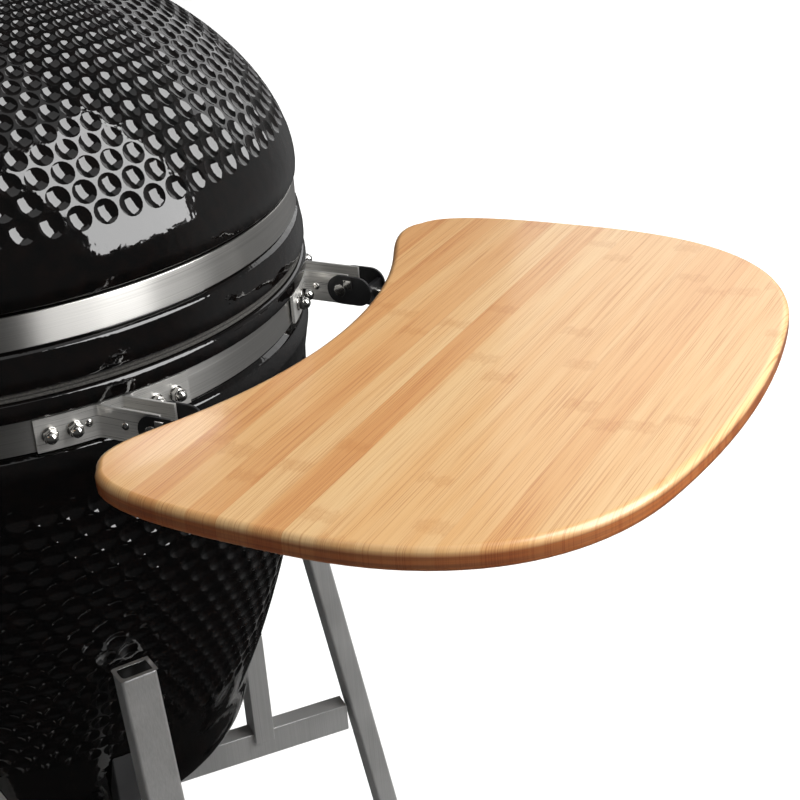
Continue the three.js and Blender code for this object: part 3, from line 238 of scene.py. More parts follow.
def bamboo(name, degrees, strips_along="Y"):
    """Laminated bamboo under clear lacquer: straight strips, fine fibres, and a wavy knuckle now and then."""
    material, principled = finish(name, "#EFBD88", 0.3, coat_weight=0.3, coat_roughness=0.1)
    place = node(material, "TexCoord").outputs["Object"]
    level = node(material, "Mapping", Vector=place, Rotation=(0, 0, -math.radians(degrees)))
    parts = node(material, "SeparateXYZ", Vector=level.outputs["Vector"]).outputs
    across, along, height = parts["X"], parts["Y"], parts["Z"]
    if strips_along == "Z":
        across, along = parts["Z"], parts["X"]

    def math_node(operation, first, second=0.0, third=0.0):
        made = node(material, "Math", {"operation": operation}, i0=first, i1=second, i2=third)
        return made.outputs["Value"]

    strip = math_node("FLOOR", math_node("DIVIDE", across, STRIP_WIDTH * MM))
    chance = node(material, "TexWhiteNoise", {"noise_dimensions": "1D"}, W=strip).outputs["Value"]
    offset = node(material, "TexWhiteNoise", {"noise_dimensions": "1D"}, W=math_node("ADD", strip, 40.5))

    def streaks(across_per_metre, along_per_metre, detail):
        vector = node(
            material, "CombineXYZ", X=math_node("MULTIPLY", across, across_per_metre),
            Y=math_node("MULTIPLY", along, along_per_metre), Z=math_node("MULTIPLY", strip, 7.3),
        ).outputs["Vector"]
        made = node(material, "TexNoise", Vector=vector, Scale=1.0, Detail=detail, Roughness=0.6)
        return made.outputs["Fac"]

    strip_shade = math_node("MULTIPLY_ADD", chance, 0.4, 0.025)
    shade = math_node("MULTIPLY_ADD", streaks(60, 2.2, 2.0), 0.55, strip_shade)
    base = node(material, "ValToRGB", Fac=shade, stops=[
        (0.0, "#E8C896"), (0.3, "#E3BB86"), (0.5, "#DEAF77"),
        (0.68, "#D69F67"), (0.84, "#CA8C55"), (1.0, "#B67544"),
    ]).outputs["Color"]
    fibre = streaks(1500, 9, 3.0)
    fibres = node(material, "ValToRGB", Fac=fibre, stops=[(0.34, "#C78F60"), (0.5, "#FFFFFF")])
    multiply = {"data_type": "RGBA", "blend_type": "MULTIPLY"}
    lined = node(material, "Mix", multiply, i0=0.55, i6=base, i7=fibres.outputs["Color"])

    turns = math_node("ADD", math_node("DIVIDE", along, KNUCKLE_SPACING * MM), offset.outputs["Value"])
    off_centre = math_node("ABSOLUTE", math_node("SUBTRACT", math_node("FRACT", turns), 0.5))
    wobble = math_node("MULTIPLY_ADD", streaks(220, 25, 3.0), 0.09, -0.045)
    ring = node(
        material, "MapRange", Value=math_node("ADD", off_centre, wobble), From_Min=0.02, From_Max=0.036,
        To_Min=1.0, To_Max=0.0,
    ).outputs["Result"]
    knuckle = math_node("MULTIPLY", ring, spread(material, streaks(900, 260, 3.0), -0.15, 0.6))
    marked = node(
        material, "Mix", {"data_type": "RGBA"}, i0=knuckle, i6=lined.outputs[2], i7=linear("#B9773F"),
    ).outputs[2]

    # The edge shows a darker, redder ply below the pale one, laid in thin level layers. The same darkening
    # fades in over the bevelled top edge, from 2.5 mm below the top, as painted shade that tones down the
    # lamp's highlight there.
    below_top = math_node("MULTIPLY", math_node("SUBTRACT", GRILL_HEIGHT, height), 1000.0)
    ply_and_shade_offset = math_node("ABSOLUTE", math_node("SUBTRACT", below_top, 10.5))
    # Mask for the darker ply, together with the painted shade on the bevel above it.
    edge = node(material, "MapRange", Value=ply_and_shade_offset, From_Min=4.5, From_Max=8.0, To_Min=0.9, To_Max=0.0)
    layers = node(
        material, "CombineXYZ", X=math_node("MULTIPLY", across, 6.0), Y=math_node("MULTIPLY", along, 6.0),
        Z=math_node("MULTIPLY", height, 700.0),
    ).outputs["Vector"]
    layer = node(material, "TexNoise", Vector=layers, Scale=1.0, Detail=2.0).outputs["Fac"]
    ply_and_shade_tone = node(material, "ValToRGB", Fac=layer, stops=[(0.35, "#8A5430"), (0.65, "#B5763F")])
    ply_and_shade_coloured = node(
        material, "Mix", multiply, i0=edge.outputs["Result"], i6=marked, i7=ply_and_shade_tone.outputs["Color"],
    ).outputs[2]
    link(material, ply_and_shade_coloured, principled, "Base Color")
    link(material, spread(material, fibre, 0.38, 0.24), principled, "Roughness")
    bump(material, principled, fibre, 0.05)
    return material


def felt():
    """Needled felt gasket: dull charcoal fibres with no shine."""
    material, principled = finish("Charcoal needled felt", "#3A3937", 0.95)
    fuzz = grain(material, (900, 900, 900), 5.0, 0.7)
    tint = node(material, "ValToRGB", stops=[(0.35, "#232221"), (0.7, "#55534F")], Fac=fuzz)
    link(material, tint.outputs["Color"], principled, "Base Color")
    bump(material, principled, fuzz, 0.5)
    return material


def clear_glass():
    """Flat clear gauge glass."""
    return finish("Clear gauge glass", "#F5F8F8", 0.02, ior=1.5, transmission_weight=1.0)[0]


GLAZE = glaze()
BISQUE = bisque()
BAND_STEEL = brushed_band()
PLATE_STEEL = brushed("Stainless plate, brushed level", (9, 9, 1500), "#A5A4A1", "#D8D6D2", metallic=0.6)
LEG_STEEL = brushed("Stainless tube, satin upright", (1300, 1300, 7), "#9A9A99", "#BEBEBD", (0.3, 0.42), 0.5)
ROD_STEEL = brushed("Drawn stainless rod", (300, 300, 300), "#A9A8A5", "#CDCBC8", (0.16, 0.26))
POLISHED = polished()
BLACK_STEEL = coated("Black powder-coated steel", "#151516", 0.34, 0.9, 0.05, light="#1E1E20")
CAST_IRON = coated("Sand-cast iron, black stove paint", "#1B1B1B", 0.62, 1.3, 0.3, light="#282726")
BLACK_PLASTIC = coated("Moulded black nylon", "#121212", 0.46, 0.7, 0.04, light="#1A1A1A")
RUBBER = coated("Moulded grey-black rubber", "#262627", 0.78, 1.0, 0.06, light="#303031")
SPRING_STEEL = brushed("Zinc-plated spring wire", (200, 200, 200), "#8F9092", "#B9BABC", (0.24, 0.34))
FELT = felt()
GLASS = clear_glass()
DIAL_WHITE = coated("White enamelled dial", "#EDEDE8", 0.35, 2.0, 0.01, light="#F4F4F0")
DIAL_BLACK = coated("Black printing ink", "#111111", 0.6, 0.5, 0.01)
NEEDLE_RED = coated("Red lacquered needle", "#B5231B", 0.36, 1.0, 0.01, light="#C22C22")
BAMBOO_RIGHT = bamboo("Lacquered bamboo, right board", RIGHT_HEADING)
BAMBOO_LEFT = bamboo("Lacquered bamboo, left board", LEFT_HEADING)
BAMBOO_HANDLE = bamboo("Lacquered bamboo, lid handle", 0.0, "Z")


# ------------------------------------------------------------------------------------- shaping tools

EPSILON = 0.01


def alone(obj):
    bpy.ops.object.select_all(action="DESELECT")
    bpy.context.view_layer.objects.active = obj
    obj.select_set(True)


@contextmanager
def editing(obj):
    """Edit mode on one object with everything in it selected."""
    alone(obj)
    bpy.ops.object.mode_set(mode="EDIT")
    bpy.ops.mesh.select_all(action="SELECT")
    yield
    bpy.ops.object.mode_set(mode="OBJECT")


def drawn(name, points, edges=(), faces=()):
    """An object from points, with edges or faces between them."""
    mesh = bpy.data.meshes.new(name)
    mesh.from_pydata([tuple(p) for p in points], edges, faces)
    obj = bpy.data.objects.new(name, mesh)
    bpy.context.scene.collection.objects.link(obj)
    return obj


def modify(obj, kind, **settings):
    alone(obj)
    modifier = obj.modifiers.new(kind.title(), kind)
    for name, value in settings.items():
        setattr(modifier, name, value)
    bpy.ops.object.modifier_apply(modifier=modifier.name)
    return obj


def bevelled(obj, width, segments=2, angle=35):
    return modify(
        obj, "BEVEL", width=width, segments=segments, limit_method="ANGLE", angle_limit=math.radians(angle),
        miter_outer="MITER_ARC",
    )


def combined(obj, operation, others):
    for other in others:
        modify(obj, "BOOLEAN", operation=operation, object=other, solver="MANIFOLD")
        bpy.data.objects.remove(other)
    return obj


def joined(obj, *others):
    return combined(obj, "UNION", others)


def cut(obj, *tools):
    return combined(obj, "DIFFERENCE", tools)


def rounded(points, radius=0.0, steps=4):
    """A closed outline with its corners rounded. A point may give a radius of its own as a third number."""
    outline = []
    count = len(points)
    for i, point in enumerate(points):
        corner = Vector(point[:2])
        reach = point[2] if len(point) > 2 else radius
        before = Vector(points[i - 1][:2]) - corner
        after = Vector(points[(i + 1) % count][:2]) - corner
        if reach <= 0 or before.length < 1e-6 or after.length < 1e-6:
            outline.append(tuple(corner))
            continue
        half = before.angle(after) / 2
        if half > math.radians(88):
            outline.append(tuple(corner))
            continue
        run = min(reach / math.tan(half), 0.49 * before.length, 0.49 * after.length)
        start = corner + before.normalized() * run
        end = corner + after.normalized() * run
        for k in range(steps + 1):
            t = k / steps
            outline.append(tuple((1 - t) ** 2 * start + 2 * t * (1 - t) * corner + t * t * end))
    return outline


def turned(name, outline, sides=96):
    """Revolves [radius, height] points about Z. An outline that stays off the axis is closed on itself."""
    count = len(outline)
    edges = [(i, i + 1) for i in range(count - 1)]
    if outline[0][0] > EPSILON or outline[-1][0] > EPSILON:
        edges.append((count - 1, 0))
    obj = drawn(name, [(max(r, 0.0), 0.0, z) for r, z in outline], edges)
    with editing(obj):
        bpy.ops.mesh.spin(steps=sides, angle=2 * math.pi, center=(0, 0, 0), axis=(0, 0, 1))
        bpy.ops.mesh.select_all(action="SELECT")
        bpy.ops.mesh.remove_doubles(threshold=0.002)
        bpy.ops.mesh.normals_make_consistent(inside=False)
    return obj


def plate(name, outline, low, high):
    """A flat outline pushed up along Z."""
    obj = drawn(name, [(x, y, low) for x, y in outline], faces=[tuple(range(len(outline)))])
    with editing(obj):
        bpy.ops.mesh.extrude_region_move(TRANSFORM_OT_translate={"value": (0, 0, high - low)})
        bpy.ops.mesh.select_all(action="SELECT")
        bpy.ops.mesh.normals_make_consistent(inside=False)
    return obj


def settled(obj):
    """Puts a primitive's place into its mesh."""
    obj.data.transform(obj.matrix_basis)
    obj.matrix_basis = Matrix.Identity(4)
    return obj


def block(name, low, high):
    centre = [(a + b) / 2 for a, b in zip(low, high)]
    bpy.ops.mesh.primitive_cube_add(size=1, location=centre, scale=[b - a for a, b in zip(low, high)])
    obj = bpy.context.object
    obj.name = name
    return settled(obj)


AXIS_TURN = {"x": (0, math.pi / 2, 0), "y": (math.pi / 2, 0, 0), "z": (0, 0, 0)}


def bar(name, radius, length, axis, centre, sides=32):
    bpy.ops.mesh.primitive_cylinder_add(
        vertices=sides, radius=radius, depth=length, location=centre, rotation=AXIS_TURN[axis],
    )
    obj = bpy.context.object
    obj.name = name
    return settled(obj)


def moved(obj, matrix):
    obj.data.transform(matrix)
    if matrix.to_3x3().determinant() < 0:
        obj.data.flip_normals()
    return obj


def softened(obj, angle=40):
    """Smooth shading that keeps flat faces flat."""
    alone(obj)
    bpy.ops.object.shade_smooth_by_angle(angle=math.radians(angle))
    return modify(obj, "WEIGHTED_NORMAL", keep_sharp=True)


def twin(obj, name):
    copy = bpy.data.objects.new(name, obj.data.copy())
    bpy.context.scene.collection.objects.link(copy)
    return copy


def piece(obj, body, slot, finishes, at=GRILL, replaces=()):
    """Puts a finished piece, made in millimetres, in its place."""
    obj.data.transform(at @ Matrix.Scale(MM, 4))
    obj.data.materials.clear()
    for material in finishes if isinstance(finishes, (list, tuple)) else [finishes]:
        obj.data.materials.append(material)
    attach(obj, body)
    if replaces:
        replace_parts(obj, *([replaces] if isinstance(replaces, str) else replaces))
    return obj


def eased(name, cad_node, width, body, slot, material, long_edge=None):
    """A plain plate or tube as the frame has it, with its edges eased as the real one's are."""
    obj = drawn(name, [])
    obj.data = frame["nodes"][cad_node].data.copy()
    obj.data.transform(Matrix.Scale(1 / MM, 4))
    alone(obj)
    bpy.ops.mesh.customdata_custom_splitnormals_clear()
    with editing(obj):
        bpy.ops.mesh.remove_doubles(threshold=0.01)
        bpy.ops.mesh.dissolve_limited(angle_limit=math.radians(1))
        if long_edge:
            bpy.ops.mesh.select_all(action="DESELECT")
    if long_edge:
        length, offset = long_edge
        for edge in obj.data.edges:
            ends = [obj.data.vertices[i].co for i in edge.vertices]
            edge.select = (ends[0] - ends[1]).length > length
        alone(obj)
        bpy.ops.object.mode_set(mode="EDIT")
        bpy.ops.mesh.select_mode(type="EDGE")
        bpy.ops.mesh.bevel(offset=offset, segments=4, affect="EDGES")
        bpy.ops.object.mode_set(mode="OBJECT")
    bevelled(obj, width, 2)
    softened(obj)
    return piece(obj, body, slot, material, at=Matrix.Identity(4), replaces=cad_node)


# ------------------------------------------------------------------------------------ ceramic shells

PITS = 84                     # round the pot in every row
ROW_SHARE = 0.85              # row spacing as a share of the pitch round the pot
WALL = 26.0
CORNER_UP = 0.673             # top and side corners of a pit's six-sided cell, in row spacings
CORNER_SIDE = 1 - CORNER_UP
PIT_RINGS = [(0.455, 0.0), (0.3, 1.95)]       # radius in pitches, depth in millimetres
PIT_DEPTH = 2.8
FULL_PITCH = 20.0             # the pitch at which the depths above hold
PIT_SIDES = 18
COLUMNS = 6 * PITS

POT_BELT = 272.5
POT_TAPER_START = 55.0
POT_TAPER_LENGTH = 655.0
POT_TAPER_POWER = 1.757
POT_RIM = level_of("pot_shell")[1]
POT_DEPTH = -level_of("pot_shell")[0]
FOOT_HEIGHT = 52.0
FOOT_RADIUS = 150.0

DOME_RIM, DOME_TOP = level_of("lid_dome")
DOME_SPRING = 92.0
DOME_RADIUS = 279.0
DOME_RISE = 192.0
DOME_POWER = 1.75
NECK_RADIUS = 85.0
NECK_BORE = 62.0
RIM_RADIUS = 280.0


def pot_radius(z):
    fall = max(-POT_TAPER_START - z, 0.0)
    return POT_BELT * (1 - (fall / POT_TAPER_LENGTH) ** POT_TAPER_POWER)


def dome_points(radius, rise, stop, steps):
    """Points up the egg-shaped dome, from the springing to the radius at which it stops."""
    power = 2 / DOME_POWER
    end = math.acos((stop / radius) ** (1 / power))
    points = []
    for i in range(steps + 1):
        angle = end * i / steps
        points.append((radius * math.cos(angle) ** power, DOME_SPRING + rise * math.sin(angle) ** power))
    return points


class Skin:
    """The outside line of a shell, measured along its length."""

    def __init__(self, points):
        self.radius, self.height = np.array(points, float).T
        step_r, step_z = np.diff(self.radius), np.diff(self.height)
        self.length = np.concatenate([[0], np.cumsum(np.hypot(step_r, step_z))])
        slope_r = np.gradient(self.radius, self.length)
        slope_z = np.gradient(self.height, self.length)
        self.normal_r, self.normal_z = np.abs(slope_z), slope_r * -np.sign(slope_z)
        spacing = ROW_SHARE * self.radius * 2 * math.pi / PITS
        mean = 2 / (spacing[1:] + spacing[:-1])
        self.rows = np.concatenate([[0], np.cumsum(np.diff(self.length) * mean)])

    def start_rows_at(self, height):
        nearest = int(np.argmin(np.abs(self.height - height)))
        self.rows -= self.rows[nearest]

    def corners(self):
        """Where the line turns enough to need a ring of its own, and its two ends."""
        heading = np.unwrap(np.arctan2(np.diff(self.height), np.diff(self.radius)))
        turning = np.abs(np.diff(heading)) > math.radians(3)
        return np.concatenate([[True], turning, [True]])

    def at(self, row, name):
        return np.interp(row, self.rows, getattr(self, name))


def pit_rows(skin, count, smooth_at):
    """Rows of round pits with a raised web between them, each pit in its own six-sided cell."""
    points, faces, shared = [], [], {}

    def point(column_step, row, depth):
        angle = column_step * 2 * math.pi / COLUMNS
        radius = float(skin.at(row, "radius"))
        height = float(skin.at(row, "height"))
        depth *= radius * 2 * math.pi / PITS / FULL_PITCH
        x, y = radius * math.cos(angle), radius * math.sin(angle)
        depth *= smooth_at(x, y, height)
        radius -= depth * float(skin.at(row, "normal_r"))
        height -= depth * float(skin.at(row, "normal_z"))
        points.append((radius * math.cos(angle), radius * math.sin(angle), height))
        return len(points) - 1

    def edge_point(column_step, row):
        key = (column_step % COLUMNS, round(row * 500))
        if key not in shared:
            shared[key] = point(column_step, row, 0.0)
        return shared[key]

    slant = (CORNER_UP - CORNER_SIDE) / 3
    third = CORNER_SIDE / 3
    quadrant = [(0, CORNER_UP), (1, CORNER_UP - slant), (2, CORNER_SIDE + slant)]
    quadrant += [(3, CORNER_SIDE), (3, third)]
    right = quadrant + [(c, -r) for c, r in quadrant[::-1]]
    edge = right + [(-c, -r) for c, r in right[1:-1]]
    for row in range(count):
        for column in range(PITS):
            centre = 6 * column + 3 * (row % 2)
            outer = [edge_point(centre + column_step, row + up) for column_step, up in edge]
            for share, depth in PIT_RINGS:
                inner = []
                for k in range(PIT_SIDES):
                    angle = math.pi / 2 - 2 * math.pi * k / PIT_SIDES
                    across = centre + 6 * share * math.cos(angle)
                    inner.append(point(across, row + share * math.sin(angle) / ROW_SHARE, depth))
                for k in range(PIT_SIDES):
                    following = (k + 1) % PIT_SIDES
                    faces.append((outer[k], outer[following], inner[following], inner[k]))
                outer = inner
            bottom = point(centre, row, PIT_DEPTH)
            faces += [(outer[k], outer[(k + 1) % PIT_SIDES], bottom) for k in range(PIT_SIDES)]
    return points, faces, edge_point


def ceramic_shell(name, skin, pit_count, inside, closed_ends, smooth_at=lambda x, y, z: 1.0):
    """A pitted shell: smooth rings, rows of pits, smooth rings again, and then the plain inside."""
    points, faces, edge_point = pit_rows(skin, pit_count, smooth_at)
    inner_faces = []

    def ring(radius, height):
        first = len(points)
        for k in range(COLUMNS):
            angle = 2 * math.pi * k / COLUMNS
            points.append((radius * math.cos(angle), radius * math.sin(angle), height))
        return list(range(first, first + COLUMNS))

    def zigzag(row, direction):
        loop = []
        for column_step in range(COLUMNS):
            place = abs((column_step - 3 * (row % 2) + 3) % 6 - 3)
            reach = CORNER_UP + (CORNER_SIDE - CORNER_UP) * place / 3
            loop.append(edge_point(column_step, row + direction * reach))
        return loop

    def bridge(lower, upper, into):
        for k in range(COLUMNS):
            following = (k + 1) % COLUMNS
            into.append((lower[k], lower[following], upper[following], upper[k]))

    margin = 0.35
    needed = skin.corners() | (np.arange(len(skin.rows)) % 3 == 0)
    before = needed & (skin.rows < -CORNER_UP - margin)
    after = needed & (skin.rows > pit_count - 1 + CORNER_UP + margin)
    rings = [ring(r, z) for r, z in zip(skin.radius[before], skin.height[before])]
    rings.append(zigzag(0, -1))
    for low, high in zip(rings, rings[1:]):
        bridge(low, high, faces)
    tail = [zigzag(pit_count - 1, 1)] + [ring(r, z) for r, z in zip(skin.radius[after], skin.height[after])]
    for low, high in zip(tail, tail[1:]):
        bridge(low, high, faces)
    lining = [ring(r, z) for r, z in inside]
    for low, high in zip(lining, lining[1:]):
        bridge(low, high, inner_faces)
    if closed_ends:
        outer_end = (tail[-1], skin.height[-1], faces)
        inner_end = (lining[-1], inside[-1][1], inner_faces)
        for loop, height, into in (outer_end, inner_end):
            points.append((0, 0, height))
            into += [(loop[k], loop[(k + 1) % COLUMNS], len(points) - 1) for k in range(COLUMNS)]
        bridge(rings[0], lining[0], faces)
    else:
        bridge(tail[-1], lining[0], faces)
        bridge(rings[0], lining[-1], faces)
    obj = drawn(name, points, faces=faces + inner_faces)
    kinds = np.array([0] * len(faces) + [1] * len(inner_faces), np.int32)
    obj.data.materials.append(GLAZE)
    obj.data.materials.append(BISQUE)
    obj.data.polygons.foreach_set("material_index", kinds)
    with editing(obj):
        bpy.ops.mesh.normals_make_consistent(inside=False)
    return obj


def placed_shell(obj, body, replaces):
    alone(obj)
    bpy.ops.object.shade_smooth_by_angle(angle=math.radians(30))
    obj.data.transform(GRILL @ Matrix.Scale(MM, 4))
    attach(obj, body)
    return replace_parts(obj, replaces)


def make_pot():
    frame_half = radius_of("draft_frame")
    frame_low, frame_high = level_of("draft_frame")

    def smooth_at(x, y, z):
        """The pits fade out round the draft door's frame."""
        if y > 0:
            return 1.0
        away = max(abs(x) - frame_half, frame_low - z, z - frame_high)
        return min(max((away - 2) / 12, 0.0), 1.0)

    rim = rounded([
        (RIM_RADIUS - WALL, POT_RIM, 2), (RIM_RADIUS, POT_RIM, 4), (RIM_RADIUS, 1.6, 4), (270.7, -1, 1),
        (270.7, -26.6, 1), (276.6, -30.5, 3), (277.2, -46, 14), (272.8, -64, 10), (272, -66),
    ])
    rim = rim[5:-1]
    body = []
    steps = 60
    foot_top = FOOT_HEIGHT - POT_DEPTH
    for i in range(steps + 1):
        z = -67 + (foot_top + 67) * i / steps
        body.append((pot_radius(z), z))
    foot = []
    foot_steps = 10
    for i in range(1, foot_steps + 1):
        angle = math.pi / 2 * i / foot_steps
        radius = FOOT_RADIUS + (pot_radius(foot_top) - FOOT_RADIUS) * math.cos(angle)
        foot.append((radius, foot_top - FOOT_HEIGHT * math.sin(angle)))
    skin = Skin(rim + body + foot + [(80, -POT_DEPTH), (20, -POT_DEPTH)])
    skin.start_rows_at(-78)
    floor = WALL - POT_DEPTH
    inside = [(RIM_RADIUS - WALL, POT_RIM - 2)]
    inside_steps = 9
    for i in range(inside_steps + 1):
        z = -POT_TAPER_START + (floor + POT_TAPER_START) * i / inside_steps
        inside.append((min(pot_radius(z) - WALL, RIM_RADIUS - WALL), z))
    inside += [(90, floor), (20, floor)]
    pot = ceramic_shell("glazed_pot", skin, 18, inside, True, smooth_at)
    throat_low = floor + 2
    cut(pot, block("throat", (-50, -RIM_RADIUS, throat_low), (50, -FOOT_RADIUS / 2, throat_low + 42)))
    placed_shell(pot, "stand", "pot_shell")


def make_dome():
    foot = rounded([
        (RIM_RADIUS - WALL, DOME_RIM, 2), (RIM_RADIUS, DOME_RIM, 4), (RIM_RADIUS, 34, 14), (278, 49, 3),
        (273.5, 52, 1), (273.5, 79, 1), (278.2, 82, 3), (279, 90),
    ])
    foot = foot[5:]
    curve = dome_points(DOME_RADIUS, DOME_RISE, NECK_RADIUS, 70)
    neck = rounded([
        curve[-1], (NECK_RADIUS, DOME_TOP, 3), (NECK_BORE, DOME_TOP, 2), (NECK_BORE, DOME_TOP - 9),
    ])[1:]
    skin = Skin(foot + curve + neck)
    skin.start_rows_at(134)
    inside = dome_points(DOME_RADIUS - WALL, DOME_RISE - WALL, NECK_BORE, 12)[::-1]
    inside.append((RIM_RADIUS - WALL, DOME_RIM + 2))
    dome = ceramic_shell("glazed_dome", skin, 18, inside, False)
    stem = bar("stem_hole", 6, 92, "z", (0, 0, 0), 24)
    moved(stem, gauge_frame_mm())
    cut(dome, stem)
    placed_shell(dome, "lid", "lid_dome")


# ------------------------------------------------------------------------------------------- bands

def make_bands():
    for name, body, cad_node in (
        ("lower_steel_band", "stand", "lower_band"),
        ("upper_steel_band", "lid", "upper_band"),
    ):
        outer = radius_of(cad_node)
        bottom, top = level_of(cad_node)
        outline = rounded(
            [(outer - 2, bottom), (outer, bottom, 0.7), (outer, top, 0.7), (outer - 2, top)], 0.5, 3,
        )
        band = turned(name, outline, 240)
        piece(softened(band), body, "stainless", BAND_STEEL, replaces=cad_node)


def make_gaskets():
    for name, body, cad_node in (("pot_felt", "stand", "pot_gasket"), ("lid_felt", "lid", "lid_gasket")):
        outer = radius_of(cad_node)
        bottom, top = level_of(cad_node)
        outline = rounded([(outer - 18, bottom), (outer, bottom), (outer, top), (outer - 18, top)], 1.1, 3)
        piece(softened(turned(name, outline, 200)), body, "felt", FELT, replaces=cad_node)


# ---------------------------------------------------------------------------------------- fasteners

def acorn_nut():
    """An M6 acorn nut on its washer, along +Z."""
    flats = 10.0
    corner = flats / 2 / math.cos(math.pi / 6)
    hexagon = [(corner * math.cos(math.pi / 3 * k), corner * math.sin(math.pi / 3 * k)) for k in range(6)]
    nut = bevelled(plate("nut", hexagon, 1.2, 6.0), 0.45, 2)
    washer = turned("washer", rounded([(0, 0), (6.2, 0, 0.3), (6.2, 1.3, 0.5), (0, 1.3)]), 28)
    steps = 6
    cap = [(0, 4.0), (4.7, 4.0)]
    for k in range(steps + 1):
        angle = math.pi / 2 * k / steps
        cap.append((4.7 * math.cos(angle), 6.4 + 4.4 * math.sin(angle)))
    return softened(joined(nut, washer, turned("cap", cap, 24)), 45)


def pan_screw(radius=3.6, height=2.2):
    """A pan head with a cross recess, along +Z."""
    steps = 5
    outline = [(0, 0), (radius, 0)]
    for k in range(steps + 1):
        angle = math.pi / 2 * k / steps
        outline.append((radius * math.cos(angle), 0.5 + (height - 0.5) * math.sin(angle)))
    head = turned("head", outline, 24)
    reach, half = radius * 0.55, radius * 0.13
    cut(
        head,
        block("recess", (-reach, -half, height - 1.0), (reach, half, height + 1)),
        block("recess", (-half, -reach, height - 1.0), (half, reach, height + 1)),
    )
    return softened(bevelled(head, 0.12, 1, 50), 45)


ACORN_NUT = acorn_nut()
PAN_SCREW = pan_screw()
SPARES = [ACORN_NUT, PAN_SCREW]


def fasten(kind, name, body, at, size=1.0, slot="stainless"):
    """Puts a copy of a fastener, which points along +Z, at a place in millimetres."""
    copy = twin(kind, name)
    copy.data.transform(at @ Matrix.Scale(size, 4))
    piece(copy, body, slot, POLISHED)


OUTWARD = turn(90, "Y")       # turns +Z to +X, away from the pot


# ------------------------------------------------------------------------------------- side shelves

SHELVES = [("right", RIGHT_HEADING, BAMBOO_RIGHT), ("left", LEFT_HEADING, BAMBOO_LEFT)]
BOARD_BOTTOM, BOARD_TOP = level_of("right_shelf_board")
BOARD_INNER = 349.0
BOARD_OUTER = 665.5
BOARD_HALF = 269.5
BOARD_HORN = 295.0
SCOOP_SHIFT = 33.0            # centre of the scoop, behind the grill's axis
SCOOP_ANGLE = 24.6
CORNER_PULL = 114.0           # handles of the curve round an outer corner
CORNER_IN = 16.7
CORNER_LIFT = 86.0
FLANGE_RADIUS = 274.0
PLATE = 2.5
FLANGE_HEIGHT = 26.4
ARM_INNER = 126.5
ARM_OUTER = 145.0
ARM_REACH = 289.0
FOLD_PIN_REACH = 283.0
FOLD_PIN_Z = -FLANGE_HEIGHT / 2
YOKE_REACH = 299.0
YOKE_RADIUS = 12.3
YOKE_PLATE = 2.0
YOKE_GAP = 0.5
YOKE_CENTRE = (ARM_INNER + ARM_OUTER) / 2
YOKE_SPAN = (ARM_OUTER - ARM_INNER) / 2 + PLATE / 2 + YOKE_GAP + YOKE_PLATE
ROD_RADIUS = 4.6
ROD_END = 480.0


def bezier(start, first, second, end, steps):
    """Points after the start of a cubic curve."""
    found = []
    for k in range(1, steps + 1):
        t = k / steps
        weights = ((1 - t) ** 3, 3 * t * (1 - t) ** 2, 3 * t * t * (1 - t), t ** 3)
        ends = (start, first, second, end)
        found.append(tuple(sum(w * p[i] for w, p in zip(weights, ends)) for i in (0, 1)))
    return found


def arc(radius, start, end, steps):
    angles = [math.radians(start + (end - start) * k / steps) for k in range(steps + 1)]
    return [(radius * math.cos(a), radius * math.sin(a)) for a in angles]


def board_outline():
    """The outline from the scooped inner edge round the horn and corner to the outer edge, and its mirror."""
    inner = [(x - SCOOP_SHIFT, y) for x, y in arc(BOARD_INNER + SCOOP_SHIFT, 0, SCOOP_ANGLE, 16)]
    outer = arc(BOARD_OUTER, 11, 0, 8)
    shoulder = BOARD_INNER + 112
    half = BOARD_HALF
    nose = (BOARD_HORN + 7, half - 34)
    start, end = inner[-1], outer[0]
    side = inner[:]
    side += bezier(start, (start[0] - 16, start[1] + 34), (nose[0] - 16, nose[1] - 18.7), nose, 14)
    side += bezier(nose, (BOARD_HORN + 20, half - 2), (shoulder - 70, half), (shoulder, half), 14)
    side += bezier(
        (shoulder, half), (shoulder + CORNER_PULL, half), (end[0] - CORNER_IN, end[1] + CORNER_LIFT), end, 24,
    )
    side += outer[1:]
    mirrored = [(x, -y) for x, y in side[1:-1]][::-1]
    return side + mirrored


def make_board(side, at, material):
    board = plate(f"{side}_bamboo_board", board_outline(), BOARD_BOTTOM, BOARD_TOP)
    bevelled(board, 5.5, 6, 60)
    board.visible_glossy = False
    piece(softened(board, 30), f"{side}_shelf", "bamboo", material, at=at, replaces=f"{side}_shelf_board")


def bracket_outline():
    """Plan of one bracket on the shelf's +y side: the curved flange and two arms bent out of it."""
    outer = FLANGE_RADIUS + PLATE
    half = PLATE / 2

    def on_flange(y):
        return math.sqrt(outer ** 2 - y ** 2)

    far, near = ARM_OUTER, ARM_INNER
    outline = [(x, y) for x, y in arc(FLANGE_RADIUS, 16, 41.4, 12)]
    outline += arc(outer, 41.4, 34.5, 4)
    outline += [
        (on_flange(far + half), far + half, 5.0), (ARM_REACH, far + half, 0.5), (ARM_REACH, far - half, 0.5),
        (on_flange(far - half), far - half, 1.5), (on_flange(near + half), near + half, 1.5),
        (ARM_REACH, near + half, 0.5), (ARM_REACH, near - half, 0.5),
        (on_flange(near - half), near - half, 5.0),
    ]
    outline += arc(outer, 24, 16, 4)
    return rounded(outline)


def mirror_y(side):
    return Matrix.Diagonal((1, side, 1, 1))


